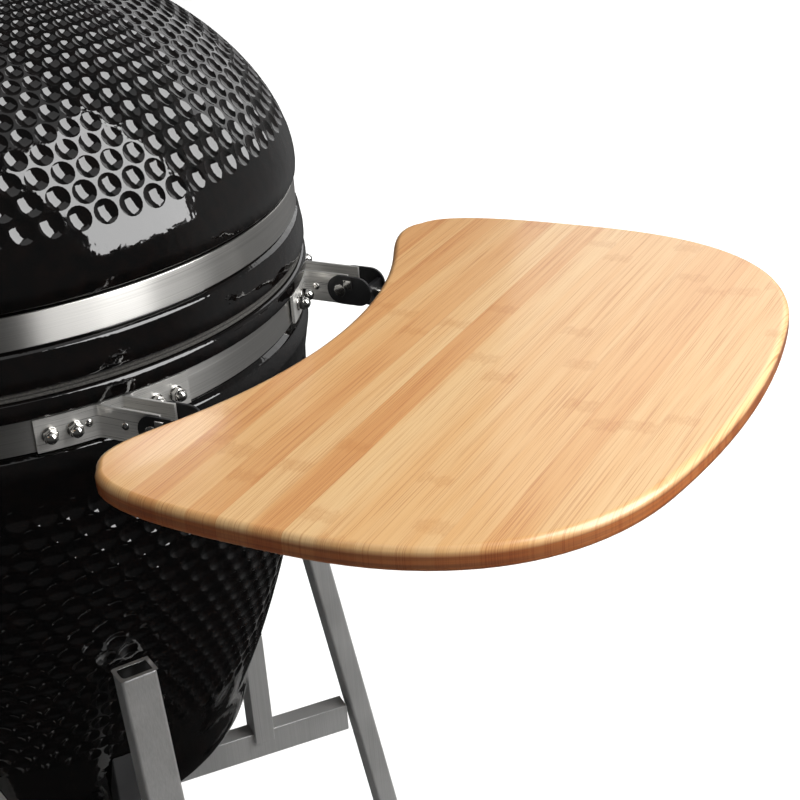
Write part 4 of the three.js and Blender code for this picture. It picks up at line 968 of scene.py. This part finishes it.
def make_bracket(shelf, place, side, at):
    bracket = plate(f"{shelf}_{place}_band_bracket", bracket_outline(), -FLANGE_HEIGHT, -0.4)
    moved(bracket, mirror_y(side))
    bevelled(bracket, 0.4, 2, 50)
    cad_node = f"{shelf}_shelf_bracket_{place}"
    piece(softened(bracket), "stand", "stainless", PLATE_STEEL, at=at, replaces=cad_node)
    to_mm = GRILL.inverted() @ at
    surface = FLANGE_RADIUS + PLATE
    for count, azimuth in enumerate((39.25, 35.5, 22.3, 18.7)):
        spot = to_mm @ turn(side * azimuth) @ shift(surface, 0, -13.75) @ OUTWARD
        fasten(ACORN_NUT, f"{shelf}_{place}_acorn_nut_{count}", "stand", spot)
    spot = to_mm @ turn(side * 33.3) @ shift(surface - 0.2, 0, -13.0) @ OUTWARD
    fasten(PAN_SCREW, f"{shelf}_{place}_flange_screw", "stand", spot, 0.85)
    for count, (centre, facing) in enumerate(((ARM_INNER, -1), (ARM_OUTER, 1))):
        y = side * (centre + facing * (PLATE / 2 - 0.1))
        spot = to_mm @ shift(258.5, y, -13.5) @ turn(-90 * side * facing, "X")
        fasten(PAN_SCREW, f"{shelf}_{place}_arm_screw_{count}", "stand", spot, 0.9)
    pin = turned("pin", rounded([(0, 0.1), (5.4, 0.1, 0.4), (5.4, 1.7, 0.9), (0, 1.7)]), 28)
    softened(pin)
    for count, facing in enumerate((-1, 1)):
        y = side * (YOKE_CENTRE + facing * YOKE_SPAN)
        spot = to_mm @ shift(FOLD_PIN_REACH, y, FOLD_PIN_Z) @ turn(-90 * side * facing, "X")
        fasten(pin, f"{shelf}_{place}_fold_pin_{count}", "stand", spot)
    bpy.data.objects.remove(pin)


def make_fold_arm(shelf, place, side, at):
    """The black yoke that folds with the board, and the bright rod that it carries under the board."""
    centre = YOKE_CENTRE
    span = YOKE_SPAN
    rod_z = BOARD_BOTTOM - ROD_RADIUS - 4
    steps = 14
    outline = []
    for reach, start in ((YOKE_REACH, -90), (FOLD_PIN_REACH, 90)):
        for k in range(steps + 1):
            angle = math.radians(start + 180 * k / steps)
            height = FOLD_PIN_Z + YOKE_RADIUS * math.sin(angle)
            outline.append((reach + YOKE_RADIUS * math.cos(angle), height))
    stand_up = turn(90, "X")
    cheeks = []
    for low in (centre - span, centre + span - YOKE_PLATE):
        cheek = plate("cheek", outline, -low - YOKE_PLATE, -low)
        cheeks.append(moved(cheek, stand_up))
    hole = bar("hole", 3.4, 4 * span, "y", (FOLD_PIN_REACH, centre, FOLD_PIN_Z), 24)
    web = block(
        "web", (YOKE_REACH + 6, centre - span + 1, rod_z - 7),
        (YOKE_REACH + 10, centre + span - 1, rod_z + 8.2),
    )
    yoke = cut(joined(cheeks[0], cheeks[1], web), hole)
    moved(yoke, mirror_y(side))
    bevelled(yoke, 0.5, 2, 50)
    yoke.name = f"{shelf}_{place}_fold_yoke"
    body = f"{shelf}_shelf"
    piece(softened(yoke), body, "black_steel", BLACK_STEEL, at=at, replaces=f"{shelf}_fold_arm_{place}")
    start = YOKE_REACH + 7
    rod = bar("rod", ROD_RADIUS, ROD_END - start, "x", ((ROD_END + start) / 2, centre, rod_z))
    bevelled(rod, 1.0, 3)
    moved(rod, mirror_y(side))
    rod.name = f"{shelf}_{place}_shelf_rod"
    piece(softened(rod), body, "stainless", ROD_STEEL, at=at)
    to_mm = GRILL.inverted() @ at
    for count, x in enumerate((BOARD_INNER + 12, ROD_END - 22)):
        saddle = block("saddle", (x - 9, centre - 11, rod_z - 2), (x + 9, centre + 11, BOARD_BOTTOM - 0.4))
        crown = bar("crown", ROD_RADIUS + 2, 18, "x", (x, centre, rod_z), 32)
        saddle = bevelled(joined(saddle, crown), 0.6, 2, 50)
        moved(saddle, mirror_y(side))
        saddle.name = f"{shelf}_{place}_rod_saddle_{count}"
        piece(softened(saddle), body, "black_steel", BLACK_STEEL, at=at)
        for number, offset in enumerate((-8.2, 8.2)):
            spot = to_mm @ shift(x, side * (centre + offset), rod_z - 1.9) @ turn(180, "X")
            fasten(PAN_SCREW, f"{shelf}_{place}_saddle_screw_{count}_{number}", body, spot, 0.6)
    head = bevelled(block("head", (-4, -4, 0), (4, 4, 3)), 0.8, 2)
    softened(head)
    for count, facing in enumerate((-1, 1)):
        spot = to_mm @ shift(291.5, side * (centre + facing * span), -6.6) @ turn(-90 * side * facing, "X")
        fasten(head, f"{shelf}_{place}_stop_pin_{count}", body, spot)
    bpy.data.objects.remove(head)


def make_shelves():
    for shelf, azimuth, material in SHELVES:
        at = GRILL @ turn(azimuth)
        make_board(shelf, at, material)
        for place, side in (("a", -1), ("b", 1)):
            make_bracket(shelf, place, side, at)
            make_fold_arm(shelf, place, side, at)


# ------------------------------------------------------------------------------------- lid hardware

def gauge_frame_mm():
    """The thermometer's place, its +Z along the stem out of the dome, in millimetres from the band's top."""
    axis = Vector(JOINTS["pointer_turn"]["axis"]).normalized()
    centre = (middle("thermometer_glass") - GRILL.translation) / MM
    seat = centre - axis * 16
    tilt = math.degrees(math.acos(axis.z))
    return shift(*seat) @ turn(tilt, "X")


GAUGE_RADIUS = 30.0
GAUGE_SEAT = 4.0
GAUGE_DEPTH = 14.0
GAUGE_STEM = 75.0
DIAL_LEVEL = GAUGE_SEAT + 3.2
COLD_ANGLE = 130
HOT_ANGLE = -130
DIAL_MARKS = 36


def make_gauge():
    at = GRILL @ Matrix.Scale(MM, 4) @ gauge_frame_mm() @ Matrix.Scale(1 / MM, 4)
    top = GAUGE_SEAT + GAUGE_DEPTH
    case = turned("gauge_case", rounded([
        (0, -GAUGE_STEM, 0), (3.2, -GAUGE_STEM, 1.2), (4, -GAUGE_STEM + 4, 1), (4, -2, 1), (9, -2, 1),
        (9, GAUGE_SEAT, 1),
        (27, GAUGE_SEAT, 3), (GAUGE_RADIUS, GAUGE_SEAT + 4, 3), (GAUGE_RADIUS, top, 1.6), (26.4, top, 1.2),
        (26.4, DIAL_LEVEL, 0), (0, DIAL_LEVEL, 0),
    ]), 96)
    piece(softened(case), "lid", "stainless", ROD_STEEL, at=at, replaces="thermometer_case")
    dial_top = DIAL_LEVEL + 0.4
    face = turned("gauge_dial", [(0, DIAL_LEVEL), (26.2, DIAL_LEVEL), (26.2, dial_top), (0, dial_top)], 72)
    piece(softened(face), "lid", "stainless", DIAL_WHITE, at=at)
    ink = DIAL_LEVEL + 0.38
    marks = []
    for k in range(DIAL_MARKS + 1):
        angle = COLD_ANGLE + (HOT_ANGLE - COLD_ANGLE) * k / DIAL_MARKS
        long = k % 6 == 0
        half, start = (0.45, 20.5) if long else (0.2, 22.2)
        mark = block("mark", (-half, start, ink), (half, 25, ink + 0.12))
        marks.append(moved(mark, turn(angle)))
    for k in range(0, DIAL_MARKS + 1, 6):
        angle = math.radians(90 + COLD_ANGLE + (HOT_ANGLE - COLD_ANGLE) * k / DIAL_MARKS)
        bpy.ops.object.text_add(location=(0, 0, 0))
        text = bpy.context.object
        text.data.body = str(50 * (k // 6 + 1))
        text.data.size = 5.0
        text.data.align_x = "CENTER"
        text.data.align_y = "CENTER"
        text.data.extrude = 0.06
        alone(text)
        bpy.ops.object.convert(target="MESH")
        number = bpy.context.object
        marks.append(moved(number, shift(16.6 * math.cos(angle), 16.6 * math.sin(angle), ink + 0.06)))
    bpy.ops.object.select_all(action="DESELECT")
    for mark in marks:
        mark.select_set(True)
    bpy.context.view_layer.objects.active = marks[0]
    bpy.ops.object.join()
    scale = bpy.context.object
    scale.name = "gauge_scale"
    piece(scale, "lid", "black_plastic", DIAL_BLACK, at=at)
    dome = [(0, top - 3), (26, top - 3), (26, top - 1.6)]
    for k in range(1, 9):
        angle = math.pi / 2 * k / 8
        dome.append((26 * math.cos(angle), top - 1.6 + 1.4 * math.sin(angle)))
    glass = turned("gauge_glass", dome, 72)
    piece(softened(glass), "lid", "glass", GLASS, at=at, replaces="thermometer_glass")
    outline = rounded([(-1.5, -8, 0.7), (1.5, -8, 0.7), (0.35, 21.5, 0.2), (-0.35, 21.5, 0.2)])
    needle = plate("gauge_needle", outline, 9.6, 10.2)
    hub = turned("hub", rounded([(0, 8, 0), (2.9, 8, 0.3), (2.9, 11.4, 1.1), (0, 11.4, 0)]), 28)
    joined(needle, hub)
    bevelled(needle, 0.12, 1, 50)
    moved(needle, turn(COLD_ANGLE))
    piece(softened(needle), "pointer", "pointer_red", NEEDLE_RED, at=at, replaces="thermometer_pointer")


def loft(name, rings):
    """Closed loops joined one to the next, with both ends filled."""
    count = len(rings[0])
    points = [p for ring in rings for p in ring]
    faces = [tuple(range(count))[::-1], tuple(range(len(points) - count, len(points)))]
    for k in range(len(rings) - 1):
        for i in range(count):
            following = (i + 1) % count
            this, above = k * count, (k + 1) * count
            faces.append((this + i, this + following, above + following, above + i))
    obj = drawn(name, points, faces=faces)
    with editing(obj):
        bpy.ops.mesh.normals_make_consistent(inside=False)
    return obj


def make_handle():
    bottom, top = level_of("lid_handle")
    middle_z = (bottom + top) / 2
    half_height = (top - bottom) / 2
    outer = (AXIS.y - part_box("lid_handle")[0].y) / MM
    depth = 24.0
    centre = outer - depth / 2
    half_angle = 27.0
    section = rounded([
        (-depth / 2, -half_height), (depth / 2, -half_height),
        (depth / 2, half_height), (-depth / 2, half_height),
    ], 9, 6)
    rings = []
    end_round = 11.0
    stations = [-1 + 2 * k / 40 for k in range(41)]
    rounding = [math.sin(math.pi / 2 * k / 7) for k in range(8)]
    half_length = math.radians(half_angle) * centre
    run_in = [end_round * (1 - math.cos(math.pi / 2 * k / 7)) for k in range(8)]
    places = [(run - half_length, share) for run, share in zip(run_in, rounding)]
    body = [(s * (half_length - end_round), 1.0) for s in stations[1:-1]]
    places = places + body + [(-run, r) for run, r in places[::-1]]
    for run, share in places:
        angle = -math.pi / 2 + run / centre
        scale = 0.45 + 0.55 * share
        ring = []
        for u, v in section:
            radius = centre + u * scale
            ring.append((radius * math.cos(angle), radius * math.sin(angle), middle_z + v * scale))
        rings.append(ring)
    handle = loft("bamboo_handle", rings)
    piece(softened(handle, 50), "lid", "bamboo", BAMBOO_HANDLE, replaces="lid_handle")
    for name, side in (("left", -1), ("right", 1)):
        eased(f"{name}_handle_bracket", f"handle_bracket_{name}", 0.5, "lid", "stainless", PLATE_STEEL)
        for count, offset in enumerate((-3.2, 3.2)):
            spot = turn(-90 + side * 15 + offset) @ shift(279.5, 0, 65.8) @ OUTWARD
            fasten(PAN_SCREW, f"{name}_handle_screw_{count}", "lid", spot, 0.95)


HINGE_Y = 325.0
HINGE_Z = 19.2


def make_hinge():
    eased("hinge_base_plate", "hinge_base", 0.6, "stand", "stainless", PLATE_STEEL)
    eased("hinge_lid_plate", "hinge_lid", 0.6, "lid", "stainless", PLATE_STEEL)
    half = radius_of("hinge_pin")
    pin = turned("hinge_bolt", rounded([
        (0, -half, 0), (4, -half, 0.8), (4, -53.5, 0.2), (7, -53.5, 0.5), (7, -49.6, 0.5), (4, -49.6, 0.2),
        (4, 49.6, 0.2), (7, 49.6, 0.5), (7, 53.5, 0.5), (4, 53.5, 0.2), (4, half, 0.8), (0, half, 0),
    ]), 40)
    moved(pin, shift(0, HINGE_Y, HINGE_Z) @ turn(90, "Y"))
    piece(softened(pin), "stand", "stainless", POLISHED, replaces="hinge_pin")
    for name in ("left", "right"):
        low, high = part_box(f"hinge_spring_{name}")
        start = (low.x - AXIS.x) / MM + 1.6
        end = (high.x - AXIS.x) / MM - 1.6
        turns = 8
        steps = turns * 20
        curve = bpy.data.curves.new("coil", "CURVE")
        curve.dimensions = "3D"
        curve.bevel_depth = 1.45
        curve.bevel_resolution = 2
        curve.use_fill_caps = True
        spline = curve.splines.new("POLY")
        spline.points.add(steps)
        for k, point in enumerate(spline.points):
            angle = 2 * math.pi * turns * k / steps
            x = start + (end - start) * k / steps
            point.co = (x, HINGE_Y + 7.5 * math.cos(angle), HINGE_Z + 7.5 * math.sin(angle), 1)
        coil = bpy.data.objects.new(f"{name}_hinge_coil", curve)
        bpy.context.scene.collection.objects.link(coil)
        alone(coil)
        bpy.ops.object.convert(target="MESH")
        coil = bpy.context.object
        piece(softened(coil, 60), "stand", "spring_steel", SPRING_STEEL, replaces=f"hinge_spring_{name}")
    for count, offset in enumerate((-13.6, 13.6)):
        for level, body, radius, name in ((-13.2, "stand", 276.4, "base"), (65.8, "lid", 279.5, "lid")):
            spot = turn(90 + offset) @ shift(radius, 0, level) @ OUTWARD
            fasten(ACORN_NUT, f"hinge_{name}_nut_{count}", body, spot)


VENT_RADIUS = 82.0
VENT_HOLES = 6
VENT_HOLE_RADIUS = 10.5
VENT_HOLE_CIRCLE = 44.0
VENT_REST_TURN = 20.0


def vent_holes(low, high, degrees):
    holes = []
    for k in range(VENT_HOLES):
        angle = math.radians(degrees + 360 * k / VENT_HOLES)
        centre = (VENT_HOLE_CIRCLE * math.cos(angle), VENT_HOLE_CIRCLE * math.sin(angle), (low + high) / 2)
        holes.append(bar("hole", VENT_HOLE_RADIUS, high - low + 4, "z", centre, 48))
    return holes


def disc(name, radius, low, high, under, over, sides):
    """A flat round plate, its lower and upper edges rounded."""
    outline = rounded([(0, low, 0), (radius, low, under), (radius, high, over), (0, high, 0)])
    return turned(name, outline, sides)


def make_vent():
    low = DOME_TOP + 0.4
    high = low + 24
    base = turned("vent_collar", rounded([
        (58, low, 0), (VENT_RADIUS, low, 1.2), (VENT_RADIUS, low + 5, 1.5), (77, low + 9, 4),
        (77, high - 6, 3),
        (VENT_RADIUS, high - 3, 1), (VENT_RADIUS, high, 0.8), (58, high, 0.6),
    ]), 128)
    pivot_y = VENT_RADIUS - 9
    cut(base, bar("socket", 3.5, 7.2, "z", (0, pivot_y, high), 24))
    piece(softened(base), "lid", "cast_iron", CAST_IRON, replaces="vent_base")
    hatch_top = high + 4.4
    hatch = disc("vent_lid", VENT_RADIUS, high + 0.4, hatch_top, 0.7, 1.2, 128)
    cut(hatch, *vent_holes(high, hatch_top, 0))
    bolt = bar("bolt", 4, 6.5, "z", (0, 0, hatch_top + 2.25), 24)
    pin = bar("pin", 3, 7.4, "z", (0, pivot_y, hatch_top - 3.7), 24)
    head = bar("head", 6, 4, "z", (0, pivot_y, hatch_top + 1), 6)
    joined(hatch, bolt, pin, head)
    piece(softened(bevelled(hatch, 0.5, 2, 50)), "hatch", "cast_iron", CAST_IRON, replaces="vent_hatch")
    bottom = hatch_top + 0.5
    top = bottom + 4
    wheel_radius = VENT_RADIUS - 17
    wheel = disc("vent_wheel", wheel_radius, bottom, top, 0.7, 1.2, 96)
    grip = block("grip", (wheel_radius - 4, -5, bottom), (VENT_RADIUS + 10, 5, top))
    tab = block("tab", (VENT_RADIUS + 4, -5, bottom), (VENT_RADIUS + 10, 5, top + 12))
    joined(wheel, grip, tab)
    cut(wheel, bar("hole", 4.5, 20, "z", (0, 0, top), 32), *vent_holes(bottom, top, VENT_REST_TURN))
    softened(bevelled(wheel, 0.6, 2, 50))
    piece(wheel, "wheel_damper", "cast_iron", CAST_IRON, replaces="daisy_wheel")
    low = top + 1.4
    knob = turned("vent_grip", rounded([
        (0, low, 0), (7.5, low, 0.6), (5.2, low + 7, 3), (13.5, low + 13, 4), (15, low + 20, 6),
        (12.5, low + 29, 7),
        (6, low + 33.6, 6), (0, low + 34, 0),
    ], steps=6), 64)
    piece(softened(knob, 60), "hatch", "black_plastic", BLACK_PLASTIC, replaces="vent_knob")


# ---------------------------------------------------------------------------------- draft and inside

def make_draft():
    eased("draft_surround", "draft_frame", 0.8, "stand", "stainless", PLATE_STEEL)
    front = (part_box("draft_frame")[0].y - AXIS.y) / MM
    bottom, top = level_of("draft_frame")
    levels = [bottom + 3.5, top - 3.5]
    for k, (x, z) in enumerate([(x, z) for x in (-58.5, 58.5) for z in levels]):
        fasten(PAN_SCREW, f"draft_screw_{k}", "stand", shift(x, front + 0.1, z) @ turn(90, "X"), 0.75)
    bottom, top = level_of("draft_door")
    back = (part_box("draft_door")[1].y - AXIS.y) / MM
    door = bevelled(block("draft_slide_door", (-55, back - 2, bottom), (55, back, top)), 0.5, 2)
    piece(softened(door), "draft_door", "stainless", PLATE_STEEL, replaces="draft_door")
    knob = turned("draft_knob", rounded([
        (0, 0, 0), (3.4, 0, 0.3), (3, 7, 1), (7.4, 9, 1.5), (8, 14, 2), (5.5, 17, 2), (0, 17.2, 0),
    ]), 40)
    moved(knob, shift(0, back - 2, (bottom + top) / 2) @ turn(90, "X"))
    piece(softened(knob, 50), "draft_door", "stainless", POLISHED)


def make_inside():
    low, high = level_of("fire_ring")
    outer = radius_of("fire_ring")
    inner = outer - 20
    outline = rounded([(inner, low), (outer, low), (outer, high), (inner, high)], 2.5)
    ring = turned("clay_fire_ring", outline, 120)
    piece(softened(ring), "stand", "fire_clay", BISQUE, replaces="fire_ring")
    low, high = level_of("fire_box")
    floor_radius = pot_radius(low - 0.4) - WALL - 14
    inner = floor_radius - 20
    bowl = turned("clay_fire_box", rounded([
        (inner - 24, low), (inner, low), (floor_radius - 4, low + 18), (outer, high), (outer - 20, high),
        (inner, low + 34), (inner - 40, low + 34), (inner - 40, low + 18), (inner - 24, low + 18),
    ], 2.5), 120)
    cut(bowl, block("airway", (-50, -outer, low - 1), (50, 0, low + 16)))
    piece(softened(bowl), "stand", "fire_clay", BISQUE, replaces="fire_box")
    low, high = level_of("charcoal_grate")
    radius = radius_of("charcoal_grate")
    grate = disc("iron_charcoal_grate", radius, low, high, 1, 1.5, 96)
    slots = []
    for y in range(-45, 46, 15):
        half = math.sqrt((radius - 22) ** 2 - y ** 2)
        for start, end in ((-half, -5), (5, half)):
            slots.append(block("slot", (start, y - 3.5, low - 1), (end, y + 3.5, high + 1)))
    cut(grate, *slots)
    softened(bevelled(grate, 0.6, 1, 50))
    piece(grate, "charcoal_grate", "cast_iron", CAST_IRON, replaces="charcoal_grate")
    low, high = level_of("cooking_grate")
    radius = radius_of("cooking_grate")
    thick = high - low
    level = (low + high) / 2
    bpy.ops.mesh.primitive_torus_add(
        major_radius=radius - thick / 2, minor_radius=thick / 2, major_segments=120, minor_segments=12,
        location=(0, 0, level),
    )
    grate = settled(bpy.context.object)
    grate.name = "rod_cooking_grate"
    bars = 15
    inside = radius - thick
    rods = []
    for k in range(1, bars + 1):
        x = -inside + 2 * inside / (bars + 1) * k
        half = math.sqrt((radius - thick / 2) ** 2 - x ** 2)
        rods.append(bar("rod", 2.3, 2 * half, "y", (x, 0, level), 12))
    joined(grate, *rods)
    piece(softened(grate, 50), "cooking_grate", "stainless", ROD_STEEL, replaces="cooking_grate")


# --------------------------------------------------------------------------------------------- stand

CORNERS = ["front_right", "rear_right", "rear_left", "front_left"]
PAD_DEPTH = 20.0              # out from the grill's axis
PAD_WIDTH = 30.0


def make_pad(corner):
    """A rubber wedge on an upright, hollowed to the pot's rounded side."""
    centre = (middle(f"{corner}_pot_pad") - GRILL.translation) / MM
    bottom, top = level_of(f"{corner}_pot_pad")
    reach = math.hypot(centre.x, centre.y)
    azimuth = math.degrees(math.atan2(centre.y, centre.x))
    pad = block("pad", (-PAD_DEPTH / 2, -PAD_WIDTH / 2, bottom), (PAD_DEPTH / 2, PAD_WIDTH / 2, top + 4))
    bevelled(pad, 1.5, 3)
    moved(pad, turn(azimuth) @ shift(reach, 0, 0))
    foot_top = FOOT_HEIGHT - POT_DEPTH
    outline = [(0, -POT_DEPTH - 1), (FOOT_RADIUS, -POT_DEPTH - 1)]
    for k in range(1, 13):
        angle = math.pi / 2 * (1 - k / 12)
        radius = FOOT_RADIUS + (pot_radius(foot_top) - FOOT_RADIUS) * math.cos(angle)
        outline.append((radius + 1, foot_top - FOOT_HEIGHT * math.sin(angle)))
    for k in range(1, 9):
        z = foot_top + 15 * k
        outline.append((pot_radius(z) + 1, z))
    outline.append((0, outline[-1][1]))
    cut(pad, turned("pot_form", outline, 160))
    pad.name = f"{corner}_rubber_pad"
    piece(softened(pad, 30), "stand", "rubber", RUBBER, replaces=f"{corner}_pot_pad")


def make_stand():
    eased("stand_cross_tubes", "stand_cross", 1.2, "stand", "leg_steel", LEG_STEEL)
    for corner in CORNERS:
        eased(f"{corner}_tube_leg", f"{corner}_leg", 0.3, "stand", "leg_steel", LEG_STEEL, (400, 2.6))
        eased(f"{corner}_leg_plug", f"{corner}_leg_cap", 0.8, "stand", "black_plastic", BLACK_PLASTIC)
        make_pad(corner)


def make_casters():
    tyre = turned("tyre", rounded([
        (27, -10, 1), (31, -13, 2), (36, -13, 4), (37.5, -6, 5), (37.5, 6, 5), (36, 13, 4), (31, 13, 2),
        (27, 10, 1),
    ], steps=5), 96)
    softened(tyre, 50)
    hub = turned("hub", rounded([
        (4.5, -13), (11, -13, 1), (13, -8, 2), (24, -8, 2), (28, -11, 1), (28, 11, 1), (24, 8, 2), (13, 8, 2),
        (11, 13, 1), (4.5, 13),
    ]), 64)
    holes = []
    for k in range(6):
        angle = math.radians(60 * k)
        holes.append(bar("hole", 3.6, 40, "z", (18.5 * math.cos(angle), 18.5 * math.sin(angle), 0), 24))
    hub = softened(bevelled(cut(hub, *holes), 0.4, 1, 50))
    hexagon = [(6.5 * math.cos(math.pi / 3 * k), 6.5 * math.sin(math.pi / 3 * k)) for k in range(6)]
    axle_nut = softened(bevelled(plate("axle_nut", hexagon, 0, 5), 0.5, 2))
    for corner in CORNERS:
        eased(f"{corner}_fork", f"{corner}_caster_fork", 0.7, f"{corner}_swivel", "black_steel", BLACK_STEEL)
        if corner.startswith("front"):
            pedal = (f"{corner}_brake_pedal", f"{corner}_caster_brake", 0.9, f"{corner}_brake")
            eased(*pedal, "black_plastic", BLACK_PLASTIC)
        centre = (middle(f"{corner}_caster_wheel") - GRILL.translation) / MM
        at = shift(*centre) @ turn(90, "X")
        body = f"{corner}_wheel"
        rim = moved(twin(tyre, f"{corner}_tyre"), at)
        piece(rim, body, "rubber", RUBBER, replaces=f"{corner}_caster_wheel")
        piece(moved(twin(hub, f"{corner}_hub"), at), body, "black_plastic", BLACK_PLASTIC)
        for count, side in enumerate((-1, 1)):
            place = shift(*centre) @ shift(0, side * 18, 0) @ turn(-90 * side, "X")
            fasten(axle_nut, f"{corner}_axle_nut_{count}", f"{corner}_swivel", place)
    for spare in (tyre, hub, axle_nut):
        bpy.data.objects.remove(spare)


# ------------------------------------------------------------------------------------ the whole grill

make_pot()
make_dome()
make_bands()
make_gaskets()
make_shelves()
make_gauge()
make_handle()
make_hinge()
make_vent()
make_draft()
make_inside()
make_stand()
make_casters()
for spare in SPARES:
    bpy.data.objects.remove(spare)


# ---------------------------------------------------------------------------- floor, light and camera

def stage_floor():
    bpy.ops.mesh.primitive_circle_add(vertices=96, radius=14, fill_type="NGON", location=(0, 0, -0.0005))
    floor = bpy.context.object
    floor.name = "studio_floor"
    material, principled = finish("Matt white studio floor", "#F3F3F2", 0.85)
    link(material, spread(material, grain(material, (3, 3, 3)), 0.8, 0.9), principled, "Roughness")
    floor.data.materials.append(material)
    floor.visible_glossy = False
    return floor


def soft_light(name, direction, elevation, distance, width, height, watts, aim=(0, 0, 0.95)):
    """A rectangular softbox facing the grill, its direction and elevation in degrees."""
    data = bpy.data.lights.new(name, "AREA")
    data.shape = "RECTANGLE"
    data.size, data.size_y, data.energy = width, height, watts
    lamp = bpy.data.objects.new(name, data)
    bpy.context.scene.collection.objects.link(lamp)
    a, e = math.radians(direction), math.radians(elevation)
    back = Vector((math.cos(a) * math.cos(e), math.sin(a) * math.cos(e), math.sin(e)))
    lamp.location = Vector(aim) + back * distance
    lamp.rotation_euler = back.to_track_quat("Z", "Y").to_euler()
    lamp.visible_camera = False
    return lamp


def studio_world():
    """A dark room, brighter to the right behind the grill, and white where the camera looks into it."""
    world = bpy.data.worlds.new("Studio")
    bpy.context.scene.world = world
    world.use_nodes = True
    direction = node(world, "TexCoord").outputs["Generated"]
    parts = node(world, "SeparateXYZ", Vector=direction).outputs
    scaled_add = {"operation": "MULTIPLY_ADD"}
    side = node(world, "Math", scaled_add, i0=parts["X"], i1=0.55, i2=0.0).outputs["Value"]
    side = node(world, "Math", scaled_add, i0=parts["Y"], i1=0.85, i2=side).outputs["Value"]
    wall = node(
        world, "MapRange", {"interpolation_type": "SMOOTHSTEP"}, Value=side, From_Min=0.55, From_Max=0.95,
        To_Min=ROOM_FRONT, To_Max=ROOM_BACK,
    ).outputs["Result"]
    level = node(
        world, "MapRange", {"interpolation_type": "SMOOTHSTEP"}, Value=parts["Z"],
        From_Min=-0.5, From_Max=-0.3, To_Min=0.25, To_Max=1.0,
    ).outputs["Result"]
    room = node(world, "Math", {"operation": "MULTIPLY"}, i0=wall, i1=level).outputs["Value"]
    seen = node(world, "LightPath").outputs["Is Camera Ray"]
    strength = node(world, "MapRange", Value=seen, To_Min=room, To_Max=1.0).outputs["Result"]
    tree = world.node_tree
    background = tree.nodes["Background"]
    background.inputs["Color"].default_value = linear("#FFFFFF")
    tree.links.new(strength, background.inputs["Strength"])


def linked_to(lamp, objects, state):
    """Makes a light shine only on some objects, or on everything but them."""
    group = bpy.data.collections.new(f"{lamp.name}_{state.lower()}")
    for obj in objects:
        group.objects.link(obj)
    for member in group.collection_objects:
        member.light_linking.link_state = state
    lamp.light_linking.receiver_collection = group


ROOM_FRONT = 0.06
ROOM_BACK = 0.22
CAMERA_REACH = (0.7573, -1.1019, 0.4906)     # from the top of the lower band, on the grill's axis
CAMERA_HEADING = 19.37
CAMERA_FALL = 25.74
CAMERA_ROLL = -4.44
CAMERA_LENS = 74.07


def make_camera():
    data = bpy.data.cameras.new("camera")
    data.lens = CAMERA_LENS
    data.sensor_width = 36
    camera = bpy.data.objects.new("camera", data)
    bpy.context.scene.collection.objects.link(camera)
    aim = turn(CAMERA_HEADING) @ turn(90 - CAMERA_FALL, "X") @ turn(CAMERA_ROLL)
    camera.matrix_world = Matrix.Translation(GRILL.translation + Vector(CAMERA_REACH)) @ aim
    bpy.context.scene.camera = camera


floor = stage_floor()
studio_world()
key = soft_light("key_softbox", -1, 30, 2.2, 1.5, 2.4, 84)
soft_light("rear_softbox", 75, 20, 3.4, 2.6, 1.6, 16)
soft_light("top_softbox", -20, 84, 3.0, 2.4, 2.4, 10)
floor_lamp = soft_light("floor_softbox", 62, 62, 5.2, 8.0, 8.0, 900, (1.6, 2.0, 0))
linked_to(key, [floor], "EXCLUDE")
low_panel = soft_light("low_softbox", -22, -8, 2.0, 1.3, 0.9, 9)
bands = [obj for obj in bpy.data.objects if obj.type == "MESH" and BAND_STEEL.name in obj.data.materials]
linked_to(low_panel, bands, "INCLUDE")
linked_to(floor_lamp, [floor], "INCLUDE")
make_camera()
bpy.context.scene.view_settings.view_transform = "Standard"
